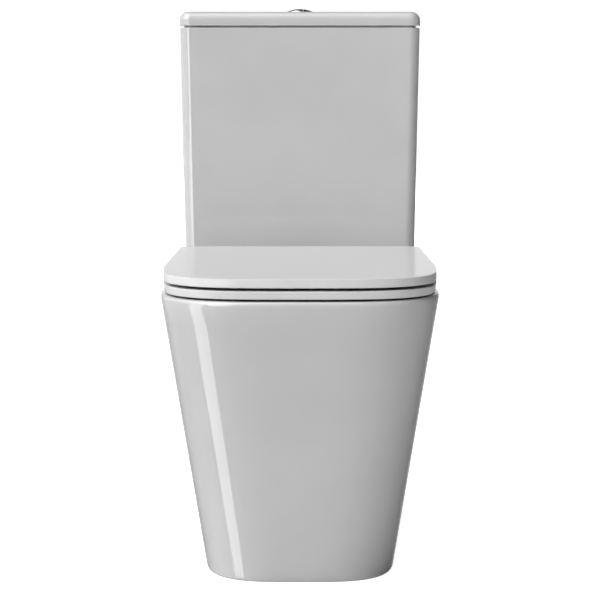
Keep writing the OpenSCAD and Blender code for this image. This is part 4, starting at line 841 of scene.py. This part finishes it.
lid_outlines = [seat_line(LID_Z0 + up, inset, LID_BACK) for up, inset in
                ((LID_HOLLOW, 22), (LID_HOLLOW, 18), (3, 15.2), (0.6, 14.2),
                 (0, 13.5), (0, 3.5), (0, 1.8))]
lid_outlines += edge_rows(LID_Z0, LID_Z1, 0.7, 0.5, LID_BACK, head_in=0.5)
lid_outlines += [seat_line(LID_Z1, inset, LID_BACK) for inset in (1.8, 6)]
lid_outlines += [seat_line(LID_Z1, 40, LID_BACK - 20)]
bm = bmesh.new()
skin(bm, lid_outlines)
lid_shell = finish_piece(bm, "lid_shell", "lid", seat_gloss, ["seat_lid"],
                         sharp=60)


def lid_cutters(bm):
    for side in (-1, 1):
        hinge_rod(bm, KNUCKLE_R + KNUCKLE_CLEAR, side, RELIEF_X)


cut(lid_shell, lid_cutters)

# %% [markdown]
# The hinge brackets are the only metal seen between seat and cistern: a round foot on the deck
# and a short rounded upright that holds the pin. They are chromed like the button.

# %% Make the hinge brackets
FOOT_LINE = [(0, RIM_Z), (15, RIM_Z), (15, RIM_Z + 1.4), (14.6, RIM_Z + 2), (13.8, RIM_Z + 2.5),
             (0, RIM_Z + 2.5)]
UPRIGHT_HALF = 7.49

bm = bmesh.new()
for side in (-1, 1):
    turned(bm, FOOT_LINE, side * HINGE_X, HINGE_Y)
finish_piece(bm, "hinge_feet", "base", chrome, ["hinge_brackets"])
bm = bmesh.new()
for side in (-1, 1):
    hinge_rod(bm, KNUCKLE_R, side, BRACKET_X, 64)
    block(bm, (side * HINGE_X - UPRIGHT_HALF, HINGE_Y - 6, RIM_Z + 2),
          (side * HINGE_X + UPRIGHT_HALF, HINGE_Y + 0.5, HINGE_Z))
round_edges(bm, sharp_edges(bm), 0.7, 3)
finish_piece(bm, "hinge_uprights", "base", chrome, ["hinge_brackets"])

# %% [markdown]
# Small soft bumpers keep the seat off the rim and the lid off the seat, and flat caps hide the two
# side screws. All are turned discs with rounded edges, each spun from a short profile.

# %% Make the bumpers
BUMPER_X = SEAT_HALF - 36


def bumpers(name, body, cad_node, radius, z0, z1, ys):
    profile = [(0, z0), (radius - 0.8, z0), (radius - 0.2, z0 + 0.3), (radius, z0 + 0.9),
               (radius, z1), (0, z1)]
    bm = bmesh.new()
    for side in (-1, 1):
        for y in ys:
            turned(bm, profile, side * BUMPER_X, y, 40)
    finish_piece(bm, name, body, black_rubber, [cad_node])


bumpers("seat_buffers", "seat", "seat_bumpers", 7, RIM_Z, SEAT_Z0,
        (SEAT_FRONT + 130, SEAT_BACK - 60))
bumpers("lid_buffers", "lid", "lid_bumpers", 6, SEAT_Z1, LID_Z0 + LID_HOLLOW,
        (SEAT_FRONT + 100, SEAT_BACK - 90))

# %% Make the screw caps
CAP_LINE = [(0, 1), (10, 1), (10, 2.2), (9.8, 2.9), (9.2, 3.4), (8.2, 3.7), (4, 4.0), (0, 4.1)]

bm = bmesh.new()
turned(bm, CAP_LINE, 0, 0, 48)
bmesh.ops.rotate(bm, verts=bm.verts, matrix=Matrix.Rotation(math.pi / 2, 3, "Y"))
bmesh.ops.translate(bm, verts=bm.verts, vec=(CAP_X, SIDE_Y, SIDE_Z))
twin = bmesh.ops.duplicate(bm, geom=bm.verts[:] + bm.edges[:] + bm.faces[:])["geom"]
for v in ring_verts(twin):
    v.co.x = -v.co.x
finish_piece(bm, "screw_caps", "base", seat_gloss, ["screw_cover_caps"])

# %% [markdown]
# The room is a plain pale floor under a soft white sky. The floor is two sheets in one place: one
# is seen by the camera and throws no light, and the one just under it is never seen and throws soft
# light back up at the object.

# %% The floor
WHITE = (1, 1, 1, 1)
FLOOR_Z, BOUNCE_Z, FLOOR_SIZE = -0.0005, -0.001, 12


def add_to_stage(bm, name, paint):
    mesh = mesh_from(bm, name)
    mesh.materials.append(paint)
    staged = add_to_scene(name, mesh)
    return staged


def floor_sheet(name, glow, z):
    bm = bmesh.new()
    bmesh.ops.create_grid(bm, x_segments=1, y_segments=1, size=FLOOR_SIZE)
    pale = new_finish(name + "_paint", (0.85, 0.85, 0.85), Roughness=0.9,
                      Emission_Strength=glow, Emission_Color=WHITE)
    sheet = add_to_stage(bm, name, pale)
    sheet.visible_glossy = False
    sheet.location.z = z
    return sheet


floor = floor_sheet("floor", 0.95, FLOOR_Z)
floor.visible_diffuse = floor.visible_shadow = False
bounce = floor_sheet("floor_bounce", 0.0, BOUNCE_Z)
bounce.visible_camera = False
print("floor and bounce sheet, each", 2 * FLOOR_SIZE, "m wide")

# %% [markdown]
# The sky is brighter on the left and behind the object than on the right, which gives the white
# glaze its form: a white thing on white is drawn only by such differences. Each glow is the cosine
# of the angle to its middle, raised to a power, so it fades softly and leaves no edge in the gloss.
# The camera itself sees plain white.

# %% The sky
# Each lamp: its turn, height, strength and narrowness.
LAMPS = (
    (-45, 35, 5.5, 16),
    (-60, 65, 4.3, 16),
    (-80, 50, 1.1, 6),
    (-135, 0, 0.7, 16),
    (180, 0, 1.0, 16),
    (180, -45, 0.2, 4),
)
BACKDROP_STRENGTH = 1.1

sky = bpy.data.worlds.new("soft_sky")
bpy.context.scene.world = sky
sky.use_nodes = True
nodes, links = sky.node_tree.nodes, sky.node_tree.links
nodes.clear()
out = nodes.new("ShaderNodeOutputWorld")
direction = nodes.new("ShaderNodeTexCoord")


def feed(socket, value):
    """Sets a socket to a number, or links another node's output to it."""
    if isinstance(value, (int, float)):
        socket.default_value = value
    else:
        links.new(value, socket)


def combine(operation, first, second):
    step = nodes.new("ShaderNodeMath")
    step.operation = operation
    feed(step.inputs[0], first)
    feed(step.inputs[1], second)
    return step.outputs["Value"]


def soft_lamp(turn, height, strength, narrow):
    """A round glow. Turn runs from the front towards the right, height up from the horizon."""
    turn, height = math.radians(turn), math.radians(height)
    facing = nodes.new("ShaderNodeVectorMath")
    facing.operation = "DOT_PRODUCT"
    facing.inputs[1].default_value = (math.cos(height) * math.sin(turn),
                                      -math.cos(height) * math.cos(turn), math.sin(height))
    links.new(direction.outputs["Generated"], facing.inputs[0])
    near = combine("MAXIMUM", facing.outputs["Value"], 0)
    return combine("MULTIPLY", combine("POWER", near, narrow), strength)


def white_light(strength):
    shader = nodes.new("ShaderNodeBackground")
    shader.inputs["Color"].default_value = WHITE
    feed(shader.inputs["Strength"], strength)
    return shader.outputs["Background"]


glow = soft_lamp(*LAMPS[0])
for lamp in LAMPS[1:]:
    glow = combine("ADD", glow, soft_lamp(*lamp))
light, backdrop = white_light(glow), white_light(BACKDROP_STRENGTH)
ray = nodes.new("ShaderNodeLightPath")
pick = nodes.new("ShaderNodeMixShader")
links.new(ray.outputs["Is Camera Ray"], pick.inputs["Fac"])
links.new(light, pick.inputs[1])
links.new(backdrop, pick.inputs[2])
links.new(pick.outputs["Shader"], out.inputs["Surface"])
print(len(LAMPS), "soft lamps in the sky")

# %% [markdown]
# Glaze needs something crisp to mirror as well. Two light cards stand on the left and show only in
# the gloss. The low one is a long bent strip, which the pan's round corner draws as one narrow band
# from rim to foot. The high one is broad, and makes the fine bright line on the cistern's corner.
# Each is a single edge extruded from rung to rung, so that a strip can bend any way.

# %% The two light cards on the left
CARD_X = -1.5
# Each rung of a strip: its rear end and its front end, as (y, z) in metres.
LOW_RUNGS = (
    ((-1.00, 0.50), (-1.75, 0.50)),
    ((-0.72, 0.05), (-1.42, -0.05)),
    ((-0.60, -0.28), (-1.20, -0.49)),
    ((-0.55, -0.74), (-1.14, -1.16)),
    ((-0.57, -0.93), (-1.19, -1.44)),
    ((-0.62, -1.20), (-1.27, -1.80)),
    ((-0.67, -1.50), (-1.38, -2.25)),
    ((-0.78, -1.98), (-1.54, -2.94)),
)
HIGH_RUNGS = (((-1.75, 1.05), (-4.0, 1.05)), ((-1.75, -0.15), (-4.0, -0.15)))


def light_card(name, rungs, glow):
    bm = bmesh.new()
    edge = bm.edges.new([bm.verts.new((CARD_X, *end)) for end in rungs[0]])
    for rung in rungs[1:]:
        made = bmesh.ops.extrude_edge_only(bm, edges=[edge])["geom"]
        edge = next(g for g in made if isinstance(g, bmesh.types.BMEdge))
        for v, end in zip(sorted(edge.verts, key=lambda v: -v.co.y), rung):
            v.co = (CARD_X, *end)
    shine = new_finish(name + "_glow", (0, 0, 0), Emission_Strength=glow, Emission_Color=WHITE)
    shine.cycles.emission_sampling = "NONE"
    card = add_to_stage(bm, name, shine)
    card.visible_camera = card.visible_diffuse = card.visible_shadow = False
    print(name, "of", len(card.data.polygons), "panels")


light_card("light_card_low", LOW_RUNGS, 2.3)
light_card("light_card_high", HIGH_RUNGS, 4.0)

# %% [markdown]
# The camera stands straight in front, a little above the seat and looking slightly down,
# with a long lens so that the sides stay nearly upright.

# %% The camera
LENS, SENSOR, CAMERA_Y, CAMERA_Z, LOOK_DOWN = 87.48, 36, -2.0794, 0.6348, 7.44

camera = add_to_scene("camera", bpy.data.cameras.new("camera"))
camera.data.lens = LENS
camera.data.sensor_width = SENSOR
camera.location = (0, CAMERA_Y, CAMERA_Z)
camera.rotation_euler = (math.radians(90 - LOOK_DOWN), 0, 0)
bpy.context.scene.camera = camera
bpy.context.scene.view_settings.view_transform = "Standard"
bpy.context.scene.view_settings.look = "None"
print("camera", -CAMERA_Y, "m in front and", CAMERA_Z, "m up, with a", LENS, "mm lens")
